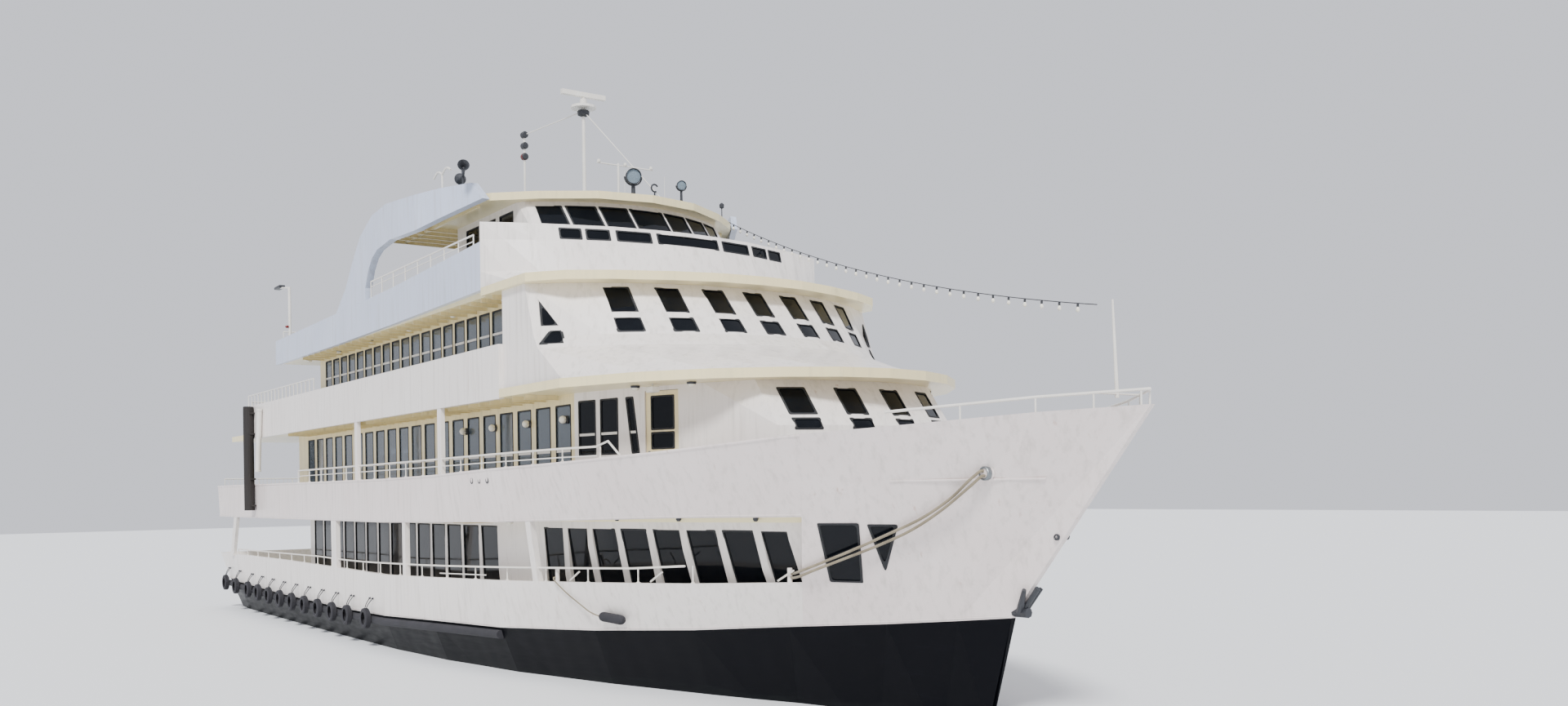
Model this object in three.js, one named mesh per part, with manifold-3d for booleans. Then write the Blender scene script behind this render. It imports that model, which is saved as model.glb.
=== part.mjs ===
// Passenger ferry, 40 m long: a round-bilged hull with a raked stem, an open main deck under a
// plated upper deck, two saloon decks with raked fronts, and a bridge deck under swept arches.
// Millimetres. +X to the bow, +Y to port, +Z up. The origin is on the waterline, amidships, on
// the centreline. Places along the ship are given in metres forward of the stern bulwark.
import * as THREE from 'three';
import { mergeVertices } from 'three/addons/utils/BufferGeometryUtils.js';
import Module from 'manifold-3d';

const wasm = await Module();
wasm.setup();

// Driving dimensions
const MIDSHIP = 19.65;
const BEAM = 9000;
const DRAFT = 1900;
const PLATE = 120;
const WALL = 100;
const DECK_THICK = 180;
const GAP = 0.3;
const DECK_FIT = 20;

const HALF = BEAM / 2;
const DECK = { upper: 3600, saloon: 6200, bridge: 8450, roof: 11050 };
const SIDES = [
  { side: 'stbd', sign: -1 },
  { side: 'port', sign: 1 },
];

const at = (metres) => (metres - MIDSHIP) * 1000;

// Finishes
const paint = (color, roughness = 0.45, metalness = 0) =>
  new THREE.MeshStandardMaterial({ color, roughness, metalness });
const navy = paint(0x1d1e2c);
const white = paint(0xeeeae6);
const cream = paint(0xf3ead0);
const deckGrey = paint(0x9a9c98, 0.8);
const archBlue = paint(0xc6cee0);
const rubber = paint(0x16161a, 0.9);
const steel = paint(0x9fa3a6, 0.4, 0.9);
const bronze = paint(0xa07a3c, 0.35, 0.9);
const dark = paint(0x24262c, 0.5);
const rope = paint(0xd8d2c2, 0.95);

const ferry = new THREE.Group();

// Closed bodies from rows of points. Each row is a list of [x, y, z].
function fromFaces(points, faces) {
  const geometry = new THREE.BufferGeometry();
  geometry.setAttribute('position', new THREE.Float32BufferAttribute(points.flat(), 3));
  geometry.setIndex(faces.flat());
  return geometry;
}

function toSolid(geometry) {
  const bare = geometry.clone();
  bare.deleteAttribute('normal');
  bare.deleteAttribute('uv');
  const merged = mergeVertices(bare, 1e-3);
  const index = Array.from(merged.index.array);
  const build = (triVerts) => new wasm.Manifold(new wasm.Mesh({
    numProp: 3,
    vertProperties: new Float32Array(merged.attributes.position.array),
    triVerts: new Uint32Array(triVerts),
  }));
  const solid = build(index);
  if (solid.volume() > 0) return solid;
  const turned = [];
  for (let i = 0; i < index.length; i += 3) turned.push(index[i], index[i + 2], index[i + 1]);
  return build(turned);
}

function toGeometry(solid) {
  const { vertProperties, triVerts, numProp, numVert } = solid.getMesh();
  const position = [];
  for (let i = 0; i < numVert; i++) {
    position.push(...vertProperties.subarray(i * numProp, i * numProp + 3));
  }
  const geometry = new THREE.BufferGeometry();
  geometry.setAttribute('position', new THREE.Float32BufferAttribute(position, 3));
  geometry.setIndex(Array.from(triVerts));
  geometry.computeVertexNormals();
  return geometry;
}

function add(name, material, solid) {
  const mesh = new THREE.Mesh(toGeometry(solid), material);
  mesh.name = name;
  ferry.add(mesh);
}

// A body lofted through closed rings of equal count; its end caps are flattened along one axis.
function loft(rings, capAxis = 0) {
  const count = rings[0].length;
  const faces = [];
  for (let i = 0; i + 1 < rings.length; i++) {
    for (let j = 0; j < count; j++) {
      const k = (j + 1) % count;
      const [a, b] = [i * count + j, i * count + k];
      const [c, d] = [a + count, b + count];
      faces.push([a, b, d], [a, d, c]);
    }
  }
  const flat = (ring) => ring.map((p) => {
    const kept = p.filter((_, axis) => axis !== capAxis);
    return new THREE.Vector2(kept[0], kept[1]);
  });
  [rings[0], rings.at(-1)].forEach((ring, end) => {
    const plan = flat(ring);
    const base = end * (rings.length - 1) * count;
    const sense = Math.sign(THREE.ShapeUtils.area(plan));
    for (const [a, b, c] of THREE.ShapeUtils.triangulateShape(plan.slice(), [])) {
      const along = Math.sign(THREE.ShapeUtils.area([plan[a], plan[b], plan[c]])) === sense;
      const [p, q, r] = (along === (end === 1) ? [a, b, c] : [a, c, b]).map((n) => n + base);
      faces.push([p, q, r]);
    }
  });
  return toSolid(fromFaces(rings.flat(), faces));
}

const box = (x0, x1, y0, y1, z0, z1) => toSolid(
  new THREE.BoxGeometry(x1 - x0, y1 - y0, z1 - z0)
    .translate((x0 + x1) / 2, (y0 + y1) / 2, (z0 + z1) / 2),
);

// A prism that runs athwartships: its outline is a list of [x, z].
const prism = (outline, y0, y1) => loft([
  outline.map(([x, z]) => [x, y0, z]),
  outline.map(([x, z]) => [x, y1, z]),
], 1);

// A round bar between two points.
function bar(from, to, radius, sides = 8, endRadius = radius) {
  const [a, b] = [new THREE.Vector3(...from), new THREE.Vector3(...to)];
  const length = a.distanceTo(b);
  const geometry = new THREE.CylinderGeometry(endRadius, radius, length, sides);
  const turn = new THREE.Quaternion().setFromUnitVectors(
    new THREE.Vector3(0, 1, 0),
    b.clone().sub(a).normalize(),
  );
  geometry.applyQuaternion(turn).translate(...a.add(b).multiplyScalar(0.5).toArray());
  return toSolid(geometry);
}

const join = (solids) => solids.reduce((all, next) => all.add(next));
const cut = (solid, tools) => tools.reduce((left, tool) => left.subtract(tool), solid);
const toPort = (solid) => toSolid(
  toGeometry(solid).applyMatrix4(new THREE.Matrix4().makeScale(1, -1, 1)),
);

function lerpTable(table, x, column) {
  const last = table.length - 1;
  if (x <= table[0][0]) return table[0][column];
  if (x >= table[last][0]) return table[last][column];
  const i = table.findIndex((row) => row[0] >= x) - 1;
  const t = (x - table[i][0]) / (table[i + 1][0] - table[i][0]);
  return THREE.MathUtils.lerp(table[i][column], table[i + 1][column], t);
}

// Hull. Each station leans with the stem. Columns: place, half breadth and height (m) of the
// paint line, then of the sheer.
const STATIONS = [
  [0.27, 4.33, 1.06, 0.27, 4.50, 4.45],
  [3.0, 4.44, 1.00, 3.0, 4.50, 4.45],
  [9.0, 4.47, 0.90, 9.0, 4.50, 4.44],
  [15.5, 4.48, 0.86, 15.5, 4.50, 4.43],
  [19.0, 4.48, 0.90, 19.0, 4.50, 4.43],
  [22.0, 4.33, 0.99, 22.5, 4.50, 4.46],
  [25.15, 3.92, 1.03, 26.0, 4.50, 4.54],
  [28.3, 3.21, 1.16, 29.05, 4.33, 4.60],
  [30.95, 2.46, 1.32, 32.15, 3.81, 4.72],
  [33.05, 1.71, 1.49, 34.8, 3.02, 4.89],
  [34.95, 0.98, 1.63, 36.92, 2.10, 4.99],
  [36.2, 0.46, 1.74, 38.62, 1.12, 5.10],
  [37.05, 0.05, 1.82, 39.95, 0.05, 5.17],
];
// Below the paint line, at the same stations: place, height and half breadth (m) of the keel,
// then of the bilge.
const BOTTOM = [
  [1.6, -0.55, 0.30, 1.5, -0.25, 3.85],
  [3.0, -0.75, 0.30, 3.0, -0.40, 3.92],
  [9.0, -1.20, 0.30, 9.0, -0.85, 3.85],
  [15.5, -1.60, 0.30, 15.5, -1.20, 3.75],
  [19.0, -1.80, 0.30, 19.0, -1.35, 3.65],
  [22.0, -1.90, 0.30, 22.0, -1.40, 3.40],
  [24.8, -1.90, 0.28, 25.0, -1.40, 2.92],
  [27.7, -1.90, 0.26, 28.0, -1.35, 2.17],
  [30.05, -1.90, 0.22, 30.45, -1.25, 1.46],
  [31.85, -1.90, 0.18, 32.35, -1.10, 0.88],
  [33.45, -1.75, 0.14, 34.05, -0.90, 0.46],
  [34.75, -1.25, 0.09, 35.45, -0.50, 0.21],
  [35.75, -0.80, 0.05, 36.45, -0.10, 0.05],
];
const TRANSOM_AT = 1.3;
const STERN_AT = 0;
const BOW_FROM = 9.15;
const SIDE_STATIONS = [
  0, 1, 2, 3, 4, 4.5, 5, 5.5, 6, 6.5, 7, 7.5, 8, 8.5, 9, BOW_FROM - 0.0005,
];

// Heights (m) by station: top of the main deck bulwark, and foot of the upper deck side.
const BULWARK_TOP = [[0, 1.96], [2, 2.0], [4, 1.96], [6, 2.1], [8, 2.25], [BOW_FROM, 2.35]];
const BAND_FOOT = [[0, 3.3], [4, 3.3], [6, 3.38], [8, 3.5], [BOW_FROM, 3.52]];

const indexed = (table) => table.map((row, i) => [i, ...row]);
const STATION_INDEX = indexed(STATIONS);
const BOTTOM_INDEX = indexed(BOTTOM);
const station = (s) => [1, 2, 3, 4, 5, 6].map((c) => lerpTable(STATION_INDEX, s, c) * 1000);
const bottom = (s) => [1, 2, 3, 4, 5, 6].map((c) => lerpTable(BOTTOM_INDEX, s, c) * 1000);
const offset = MIDSHIP * 1000;

// A point of the hull's side at station s and height z, set in by inset.
function sidePoint(s, z, inset = 0) {
  const [lowAt, lowHalf, lowZ, topAt, topHalf, topZ] = station(s);
  const t = (z - lowZ) / (topZ - lowZ);
  return {
    x: THREE.MathUtils.lerp(lowAt, topAt, t) - offset,
    half: THREE.MathUtils.lerp(lowHalf, topHalf, t) - inset,
  };
}

const deckHeight = (x) => lerpTable(STATIONS, (x + offset) / 1000, 2) * 1000;

function onSide(s, z, inset, sign) {
  const { x, half } = sidePoint(s, z, inset);
  return [x, sign * half, z];
}

// Plating along the side: foot and head give its heights in mm at each station.
function plating(stations, foot, head, sign, thickness = PLATE, inset = 0) {
  return loft(stations.map((s) => [
    onSide(s, foot(s), inset, sign),
    onSide(s, head(s), inset, sign),
    onSide(s, head(s), inset + thickness, sign),
    onSide(s, foot(s), inset + thickness, sign),
  ]));
}

const paintLine = (s) => station(s)[2];
const sheer = (s) => station(s)[5];
const bulwarkTop = (s) => lerpTable(BULWARK_TOP, s, 1) * 1000;
const bandFoot = (s) => lerpTable(BAND_FOOT, s, 1) * 1000;

// Twin shafts under the run aft
const SHAFT = { y: 1950, z: -1300, radius: 75, aft: at(3.35), forward: at(9.0) };
const STRUT_AT = at(4.5);
const RUNNING = 5;
const SEAT = 0.4;

function shaftBracket(sign) {
  const y = sign * SHAFT.y;
  const bore = SHAFT.radius + RUNNING;
  const barrel = bar([STRUT_AT - 150, y, SHAFT.z], [STRUT_AT + 150, y, SHAFT.z], bore + 60, 16);
  const arm = box(STRUT_AT - 110, STRUT_AT + 110, y - 30, y + 30, SHAFT.z + 100, -450);
  const hole = bar([STRUT_AT - 200, y, SHAFT.z], [STRUT_AT + 200, y, SHAFT.z], bore, 16);
  return cut(join([barrel, arm]), [hole]);
}

function sternTube(sign) {
  const y = sign * SHAFT.y;
  const [aft, forward] = [SHAFT.forward + SEAT, SHAFT.forward + 4000];
  return bar([aft, y, SHAFT.z], [forward, y, SHAFT.z], 150, 12);
}

function rudderTrunk(sign) {
  const y = sign * SHAFT.y;
  return bar([RUDDER.x, y, RUDDER.head], [RUDDER.x, y, -300], 110, 12);
}

const RUDDER = { x: at(2.4), head: -640, foot: -1800, stock: 60 };

function lowerHull() {
  const rings = STATIONS.map((_, s) => {
    const [lowAt, lowHalf, lowZ] = station(s);
    const [keelAt, keelZ, keelHalf, bilgeAt, bilgeZ, bilgeHalf] = bottom(s);
    const deckX = (s === 0 ? TRANSOM_AT * 1000 : lowAt) - offset;
    return [
      [deckX, lowHalf, lowZ],
      [deckX, -lowHalf, lowZ],
      [bilgeAt - offset, -bilgeHalf, bilgeZ],
      [keelAt - offset, -keelHalf, keelZ],
      [keelAt - offset, keelHalf, keelZ],
      [bilgeAt - offset, bilgeHalf, bilgeZ],
    ];
  });
  const skeg = prism([
    [at(6), -850], [at(17), -1600], [at(19), -DRAFT + 100], [at(17), -DRAFT], [at(7), -DRAFT],
  ], -75, 75);
  const fittings = SIDES.flatMap(({ sign }) => [
    shaftBracket(sign), sternTube(sign), rudderTrunk(sign),
  ]);
  return join([loft(rings), skeg, ...fittings]);
}
const hull = lowerHull();
add('hull_lower', navy, hull);

// Main deck bulwark: its aft end rakes out over the transom, and a pillar stands on its quarter.
const PILLAR = { foot: 2.1, head: 2.7, width: 0.4 };

// Cleats on the bulwark's top: one holds the mooring lines, one the fender's rope.
const CLEAT = { fender: 6.68, lines: 9.0, radius: 45, height: 260 };
const cleatFoot = (s, sign) => onSide(s, bulwarkTop(s), PLATE / 2, sign);

function mainBulwark(sign) {
  const rings = SIDE_STATIONS.map((s) => {
    const ring = [[paintLine(s) + GAP, 0], [bulwarkTop(s), 0], [bulwarkTop(s), PLATE],
      [paintLine(s) + GAP, PLATE]].map(([z, inset]) => onSide(s, z, inset, sign));
    if (s === 0) {
      [TRANSOM_AT, STERN_AT, STERN_AT, TRANSOM_AT].forEach((m, i) => { ring[i][0] = at(m); });
    }
    return ring;
  });
  const cleats = [CLEAT.fender, CLEAT.lines].map((s) => {
    const [x, y, z] = cleatFoot(s, sign);
    return bar([x, y, z - 40], [x, y, z + CLEAT.height], CLEAT.radius, 12);
  });
  const { foot, head, width } = PILLAR;
  const pillar = prism([
    [at(foot), 1900], [at(head), bandFoot(0) - GAP],
    [at(head + width), bandFoot(0) - GAP], [at(foot + width), 1900],
  ], sign * (HALF - PLATE), sign * (HALF - 10));
  return join([loft(rings), pillar, ...cleats]);
}

// Upper deck side: from over the main deck opening to the sheer.
const upperSide = (sign) => plating(SIDE_STATIONS, bandFoot, sheer, sign);

const MAIN_POSTS = [['a', 2.88, 0.035], ['b', 4.45, 0.03], ['c', 6.46, 0.03]];

for (const { side, sign } of SIDES) {
  add('bulwark_main_' + side, white, mainBulwark(sign));
  add('side_upper_' + side, white, upperSide(sign));
  for (const [letter, s, reach] of MAIN_POSTS) {
    const post = plating([s - reach, s + reach], (n) => bulwarkTop(n) + GAP,
      (n) => bandFoot(n) - GAP, sign);
    add('post_main_' + letter + '_' + side, white, post);
  }
}

function transomBulwark() {
  const [low, top] = [paintLine(0) + GAP, bulwarkTop(0)];
  const [lowHalf, topHalf] = [low, top].map((z) => sidePoint(0, z, PLATE + GAP).half);
  return loft([[TRANSOM_AT, lowHalf, low], [STERN_AT, topHalf, top]].map(([m, half, z]) => [
    [at(m), -half, z], [at(m) + PLATE, -half, z], [at(m) + PLATE, half, z], [at(m), half, z],
  ]), 2);
}
add('bulwark_transom', white, transomBulwark());

// Bow: solid below the foredeck, which lies in a well behind the bulwark, with two dark ports
// let into each side.
const FOREDECK = 4150;
const FAIRLEAD = { s: 10.78, z: 4200, out: 60, radius: 110 };
const PORTS = [
  [[34.62, 3.4], [35.32, 3.4], [34.89, 2.38], [34.32, 2.38]],
  [[35.48, 3.38], [35.97, 3.38], [35.4, 2.6]],
];

function bowBlock() {
  const rows = [BOW_FROM, 10, 11, 12];
  const ring = (s, foot, head, inset) => [
    onSide(s, foot, inset, 1), onSide(s, foot, inset, -1),
    onSide(s, head, inset, -1), onSide(s, head, inset, 1),
  ];
  const block = loft(rows.map((s) => ring(s, paintLine(s) + GAP, sheer(s), 0)));
  const well = loft([BOW_FROM - 0.1, 10, 11, 11.8].map((s) => ring(s, FOREDECK, 5400, PLATE)));
  const recesses = SIDES.flatMap(({ sign }) => {
    const skin = plating([BOW_FROM - 0.1, 10, 11], () => 2000, () => 3800, sign, 90, -40);
    return PORTS.map((port) => skin.intersect(prism(
      port.map(([m, z]) => [at(m), z * 1000]), sign * 500, sign * HALF,
    )));
  });
  const fairleads = SIDES.map(({ sign }) => bar(
    onSide(FAIRLEAD.s, FAIRLEAD.z, 60, sign), onSide(FAIRLEAD.s, FAIRLEAD.z, -FAIRLEAD.out, sign),
    FAIRLEAD.radius, 12,
  ));
  const windlass = join([
    bar([at(37.9), -450, FOREDECK + 420], [at(37.9), 450, FOREDECK + 420], 130, 12),
    box(at(37.75), at(38.05), -300, 300, FOREDECK - 50, FOREDECK + 420),
  ]);
  return join([cut(block, [well, ...recesses]), windlass, ...fairleads]);
}
const bow = bowBlock();
add('bow', white, bow);

// Deck plates
const mirrored = (half) => [...half, ...half.slice().reverse().map(([x, y, z]) => [x, -y, z])];
const onCentre = (outline) => outline.filter(([, y], i, all) => (
  all.findIndex(([x2, y2]) => x2 === outline[i][0] && y2 === y) === i));

// A level plate between two heights; its outline is the port side's [along, half] in metres.
function plate(outline, z0, z1) {
  const rim = mirrored(outline.map(([m, half]) => [at(m), half * 1000]));
  const plan = onCentre(rim);
  return loft([z0, z1].map((z) => plan.map(([x, y]) => [x, y, z])), 2);
}

function upperDeck() {
  const [foot, head] = [DECK.upper - DECK_THICK, DECK.upper];
  const inset = PLATE + DECK_FIT;
  const rings = SIDE_STATIONS.map((s) => [
    onSide(s, foot, inset, 1), onSide(s, foot, inset, -1),
    onSide(s, head, inset, -1), onSide(s, head, inset, 1),
  ]);
  return loft(rings);
}
add('deck_upper', deckGrey, upperDeck());

// Raked fronts. Each row: half breadth (m), place (m) at the head, and how far the row moves
// with the rake, from 0 to 1.
const UPPER_FRONT = [
  [3.6, 28.3, 0], [3.3, 29.75, 0], [2.6, 31.65, 0], [2.1, 32.75, 1],
  [1.35, 33.1, 1], [0.6, 33.27, 1], [0, 33.3, 1],
];
const SALOON_FRONT = [
  [4.4, 26.6, 0], [4.4, 27.75, 0.4], [3.4, 28.47, 0.65], [2.6, 28.9, 0.8],
  [1.8, 29.2, 0.9], [1.0, 29.4, 1], [0, 29.45, 1],
];
const BRIDGE_FRONT = [
  [4.5, 25.7, 0], [4.05, 25.95, 0.3], [3.45, 26.25, 0.6], [2.8, 26.5, 0.75],
  [1.8, 26.83, 0.9], [0.8, 27.0, 1], [0, 27.05, 1],
];
const PILOTHOUSE = [
  [2.75, 20.0, 0], [2.75, 23.7, 0], [2.64, 23.95, 0.8], [1.92, 24.4, 1],
  [1.2, 24.73, 1], [0.48, 24.9, 1], [0, 24.95, 1],
];

// A wall that follows such a table from port to starboard. Levels: height (mm), forward shift
// of the rake (m).
function rakedWall(table, levels, thickness = WALL) {
  const outline = ([z, shift], inset) => {
    const half = table.map(([breadth, m, rake]) => [
      at(m + shift * rake) - (rake > 0 ? inset : 0),
      breadth * 1000 * (1 - inset / (table[0][0] * 1000)),
      z,
    ]);
    const other = half.slice(0, -1).reverse().map(([x, y]) => [x, -y, z]);
    return [...half, ...other];
  };
  return loft(levels.map((level) => [
    ...outline(level, 0), ...outline(level, thickness).reverse(),
  ]), 2);
}

// Openings for panes through a raked front: [inner edge, outer edge, foot, head] in metres.
const frontPanes = (panes, from, to) => panes.map(([y0, y1, z0, z1]) => (
  box(at(from), at(to), y0 * 1000, y1 * 1000, z0 * 1000, z1 * 1000)));
const range = (count, step, first) => Array.from({ length: count }, (_, i) => first + i * step);

// Panes through a side wall, each a leaning four-sided hole: [aft edge at the head, width,
// lean forward at the foot, foot, head] in metres.
const sidePanes = (panes, sign, y0 = 1.2, y1 = 4.6) => panes.map(([m, width, lean, z0, z1]) => (
  prism([
    [at(m), z1 * 1000], [at(m + width), z1 * 1000],
    [at(m + width + lean), z0 * 1000], [at(m + lean), z0 * 1000],
  ], sign * y0 * 1000, sign * y1 * 1000)));

const UPPER_LEVELS = [
  [DECK.upper + GAP, 0.6], [5150, 0.6], [DECK.saloon - DECK_THICK - GAP, -0.1],
];
const PANE = 0.46;
const upperPanes = range(4, 1.05, -1.575).flatMap((y) => [
  [y - PANE / 2, y + PANE / 2, 5.36, 5.86],
  [y - PANE / 2, y + PANE / 2, 5.08, 5.28],
]);

// Side windows aft of the door: [aft edge at the head, width, lean, foot, head] in metres.
const CORNER_PANES = [
  [28.44, 0.52, 0, 4.75, 5.84], [29.12, 0.52, 0, 4.75, 5.84], [29.86, 0.17, 0.14, 4.75, 5.84],
];

// The side door, let into the flat of the upper front between two rows of its table. It lies
// at the wall's inner face and opens inwards on pins at its forward edge.
const DOOR = { width: 820, height: 2230, foot: 3700, thick: 50, depth: 85, clear: 8, pin: 20 };
const DOOR_LIGHTS = [[4820, 5130], [5190, 5830]];

function doorFrame(sign) {
  const [[h0, m0], [h1, m1]] = [UPPER_FRONT[1], UPPER_FRONT[2]];
  const aft = new THREE.Vector3(at(m0), sign * h0 * 1000, 0);
  const forward = new THREE.Vector3(at(m1), sign * h1 * 1000, 0);
  const along = forward.clone().sub(aft).normalize();
  const out = new THREE.Vector3(along.y, -along.x, 0).multiplyScalar(-sign);
  const middle = aft.clone().lerp(forward, 0.5);
  return { along, out, middle };
}

// A box or pin in the door's own frame: u along the wall from its middle, v outwards.
function doorBox(sign, u0, u1, v0, v1, z0, z1) {
  const { along, out, middle } = doorFrame(sign);
  const corner = (u, v, z) => middle.clone().addScaledVector(along, u)
    .addScaledVector(out, v).setZ(z).toArray();
  return loft([z0, z1].map((z) => [
    corner(u0, v0, z), corner(u1, v0, z), corner(u1, v1, z), corner(u0, v1, z),
  ]), 2);
}

function doorPin(sign, z0, z1, radius) {
  const { along, out, middle } = doorFrame(sign);
  const foot = middle.clone().addScaledVector(along, DOOR.width / 2 + DOOR.clear)
    .addScaledVector(out, -DOOR.depth - DOOR.pin - 4);
  return bar(foot.clone().setZ(z0).toArray(), foot.clone().setZ(z1).toArray(), radius, 12);
}
const KNUCKLES = [4100, 5200];
const KNUCKLE = 90;

function doorHole(sign) {
  const half = DOOR.width / 2 + DOOR.clear;
  return doorBox(sign, -half, half, -400, 400, DOOR.foot - DOOR.clear,
    DOOR.foot + DOOR.height + DOOR.clear);
}

function doorLugs(sign) {
  const half = DOOR.width / 2 + DOOR.clear;
  return KNUCKLES.flatMap((z) => [
    doorPin(sign, z - KNUCKLE, z, DOOR.pin),
    doorBox(sign, half, half + 60, -DOOR.depth - DOOR.pin - 4, -40, z - KNUCKLE, z),
  ]);
}

function sideDoor(sign) {
  const half = DOOR.width / 2;
  const [inside, face] = [-DOOR.depth, DOOR.thick - DOOR.depth];
  const panel = doorBox(sign, -half, half, inside, face, DOOR.foot, DOOR.foot + DOOR.height);
  const lights = DOOR_LIGHTS.map(([z0, z1]) => (
    doorBox(sign, -half + 130, half - 130, -400, 400, z0, z1)));
  const hinges = KNUCKLES.flatMap((z) => [
    doorPin(sign, z + GAP, z + KNUCKLE, DOOR.pin),
    doorBox(sign, half - 60, half + DOOR.clear - 2, inside - DOOR.pin - 4, inside + 10,
      z + GAP, z + KNUCKLE),
  ]);
  return join([cut(panel, lights), ...hinges]);
}

function upperFront() {
  const wall = rakedWall(UPPER_FRONT, UPPER_LEVELS);
  const corners = SIDES.flatMap(({ sign }) => sidePanes(CORNER_PANES, sign, 2.9, 3.8));
  const holes = [...frontPanes(upperPanes, 31.8, 35), ...corners, doorHole(-1), doorHole(1)];
  return join([cut(wall, holes), ...doorLugs(-1), ...doorLugs(1)]);
}
add('front_upper', white, upperFront());
for (const { side, sign } of SIDES) add('door_' + side, cream, sideDoor(sign));

// Straight deckhouse walls along the ship, each one solid panel with its panes cut out.
// runs: [place, half breadth] in metres.
function houseWall(runs, foot, head, sign, thickness = WALL) {
  return loft(runs.map(([m, half]) => {
    const y = half * 1000;
    return [
      [at(m), sign * y, foot(at(m))], [at(m), sign * y, head],
      [at(m), sign * (y - thickness), head], [at(m), sign * (y - thickness), foot(at(m))],
    ];
  }));
}

// Aft wall of a deckhouse with a double doorway.
function aftWall(m, half, foot, head) {
  const wall = box(at(m), at(m) + WALL, -half * 1000, half * 1000, foot, head);
  return cut(wall, [box(at(m) - 50, at(m) + WALL + 50, -700, 700, foot - 50, foot + 1960)]);
}

// Main deck saloon: its side follows the hull's and ends at the bow.
const MAIN_HOUSE = { aft: 9.0, half: 3.55, head: DECK.upper - DECK_THICK - GAP };
// Station, then the half breadth (m) at the wall's foot and at its head.
const MAIN_HOUSE_HALF = [
  [2, 3.55, 3.55], [4, 3.55, 3.55], [5, 3.5, 3.55], [6, 3.27, 3.45], [7, 2.66, 3.15],
  [8, 2.0, 2.57], [9, 1.42, 2.04], [BOW_FROM - 0.0005, 1.33, 1.97],
];

function mainHouseSide(sign) {
  const wall = loft(MAIN_HOUSE_HALF.map(([s, footHalf, headHalf]) => {
    const foot = sidePoint(s, paintLine(s)).x;
    const head = sidePoint(s, MAIN_HOUSE.head).x;
    const corner = (x, half, inset, z) => [x, sign * (half * 1000 - inset), z];
    return [
      corner(foot, footHalf, 0, paintLine(s) + GAP), corner(head, headHalf, 0, MAIN_HOUSE.head),
      corner(head, headHalf, WALL, MAIN_HOUSE.head), corner(foot, footHalf, WALL, paintLine(s) + GAP),
    ];
  }));
  const panes = [
    ...range(14, 1.05, 9.5).map((m) => [m, 0.88, 0, 1.75, 3.25]),
    ...range(7, 0.95, 26.3).map((m) => [m, 0.76, -0.12, 1.75, 3.25]),
    [32.95, 0.62, -0.16, 1.75, 3.25],
  ];
  return cut(wall, sidePanes(panes, sign));
}

const UPPER_HOUSE = { aft: 8.0, half: 3.6 };
const SALOON_HOUSE = { aft: 10.9, half: 3.7 };

function upperHouseSide(sign) {
  const runs = [[UPPER_HOUSE.aft, UPPER_HOUSE.half], [28.3 - GAP / 1000, UPPER_HOUSE.half]];
  const wall = houseWall(runs, () => DECK.upper + GAP, DECK.saloon - DECK_THICK - GAP, sign);
  return cut(wall, sidePanes(range(20, 0.965, 9.1).map((m) => [m, 0.7, 0, 4.25, 5.8]), sign));
}

function saloonHouseSide(sign) {
  const runs = [[SALOON_HOUSE.aft, SALOON_HOUSE.half], [26.6 - GAP / 1000, SALOON_HOUSE.half]];
  const wall = houseWall(runs, () => DECK.saloon + GAP, DECK.bridge - DECK_THICK - GAP, sign);
  return cut(wall, sidePanes(range(19, 0.76, 11.5).map((m) => [m, 0.6, 0, 7.0, 8.13]), sign));
}

for (const { side, sign } of SIDES) {
  add('house_main_' + side, white, mainHouseSide(sign));
  add('house_upper_' + side, cream, upperHouseSide(sign));
  add('house_saloon_' + side, cream, saloonHouseSide(sign));
}

const inner = (half) => half - (WALL + GAP) / 1000;
const mainFoot = deckHeight(at(MAIN_HOUSE.aft)) + GAP;
add('house_main_aft', white,
  aftWall(9.01, inner(MAIN_HOUSE.half), mainFoot, MAIN_HOUSE.head));
add('house_upper_aft', cream,
  aftWall(UPPER_HOUSE.aft, inner(UPPER_HOUSE.half), DECK.upper + GAP,
    DECK.saloon - DECK_THICK - GAP));
add('house_saloon_aft', cream,
  aftWall(SALOON_HOUSE.aft, inner(SALOON_HOUSE.half), DECK.saloon + GAP,
    DECK.bridge - DECK_THICK - GAP));

// Saloon deck: a plate that runs out forward as a visor over the upper deck's front.
const SALOON_PLATE = [
  [2.1, 4.38], [26.6, 4.38], [26.6, 4.5], [29.5, 4.5], [31.3, 3.85], [32.55, 2.95], [33.35, 2.0],
  [33.85, 1.0], [34.0, 0],
];
const narrow = (outline) => outline.map(([m, half]) => [m, half === 4.38 ? half - GAP / 1000 : half]);
add('deck_saloon', cream, plate(narrow(SALOON_PLATE), DECK.saloon - DECK_THICK, DECK.saloon));

// Side panels of the two upper decks: [place, foot, head] in metres.
const SALOON_PANEL = [[4.7, 6.0, 7.12], [26.6 - GAP / 1000, 6.0, 7.15]];
const BRIDGE_PANEL = [
  [8.8, 8.24, 9.0], [15.2, 8.25, 9.12], [20.0, 8.3, 9.22], [25.7 - GAP / 1000, 8.4, 9.45],
];
const sidePanel = (table, sign) => loft(table.map(([m, z0, z1]) => [
  [at(m), sign * HALF, z0 * 1000], [at(m), sign * HALF, z1 * 1000],
  [at(m), sign * (HALF - PLATE), z1 * 1000], [at(m), sign * (HALF - PLATE), z0 * 1000],
]));

// Posts between the upper deck side and the saloon deck's panel.
const UPPER_POSTS = [['a', 16.87], ['b', 23.08]];
function upperPost(m, sign) {
  const [x, y] = [at(m), sign * (HALF - PLATE / 2)];
  const foot = lerpTable(STATIONS.map((row) => [row[3], row[5]]), m + 0.12, 1) * 1000;
  return box(x - 110, x + 110, y - 50, y + 50, foot + GAP, 6000 - GAP);
}

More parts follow.
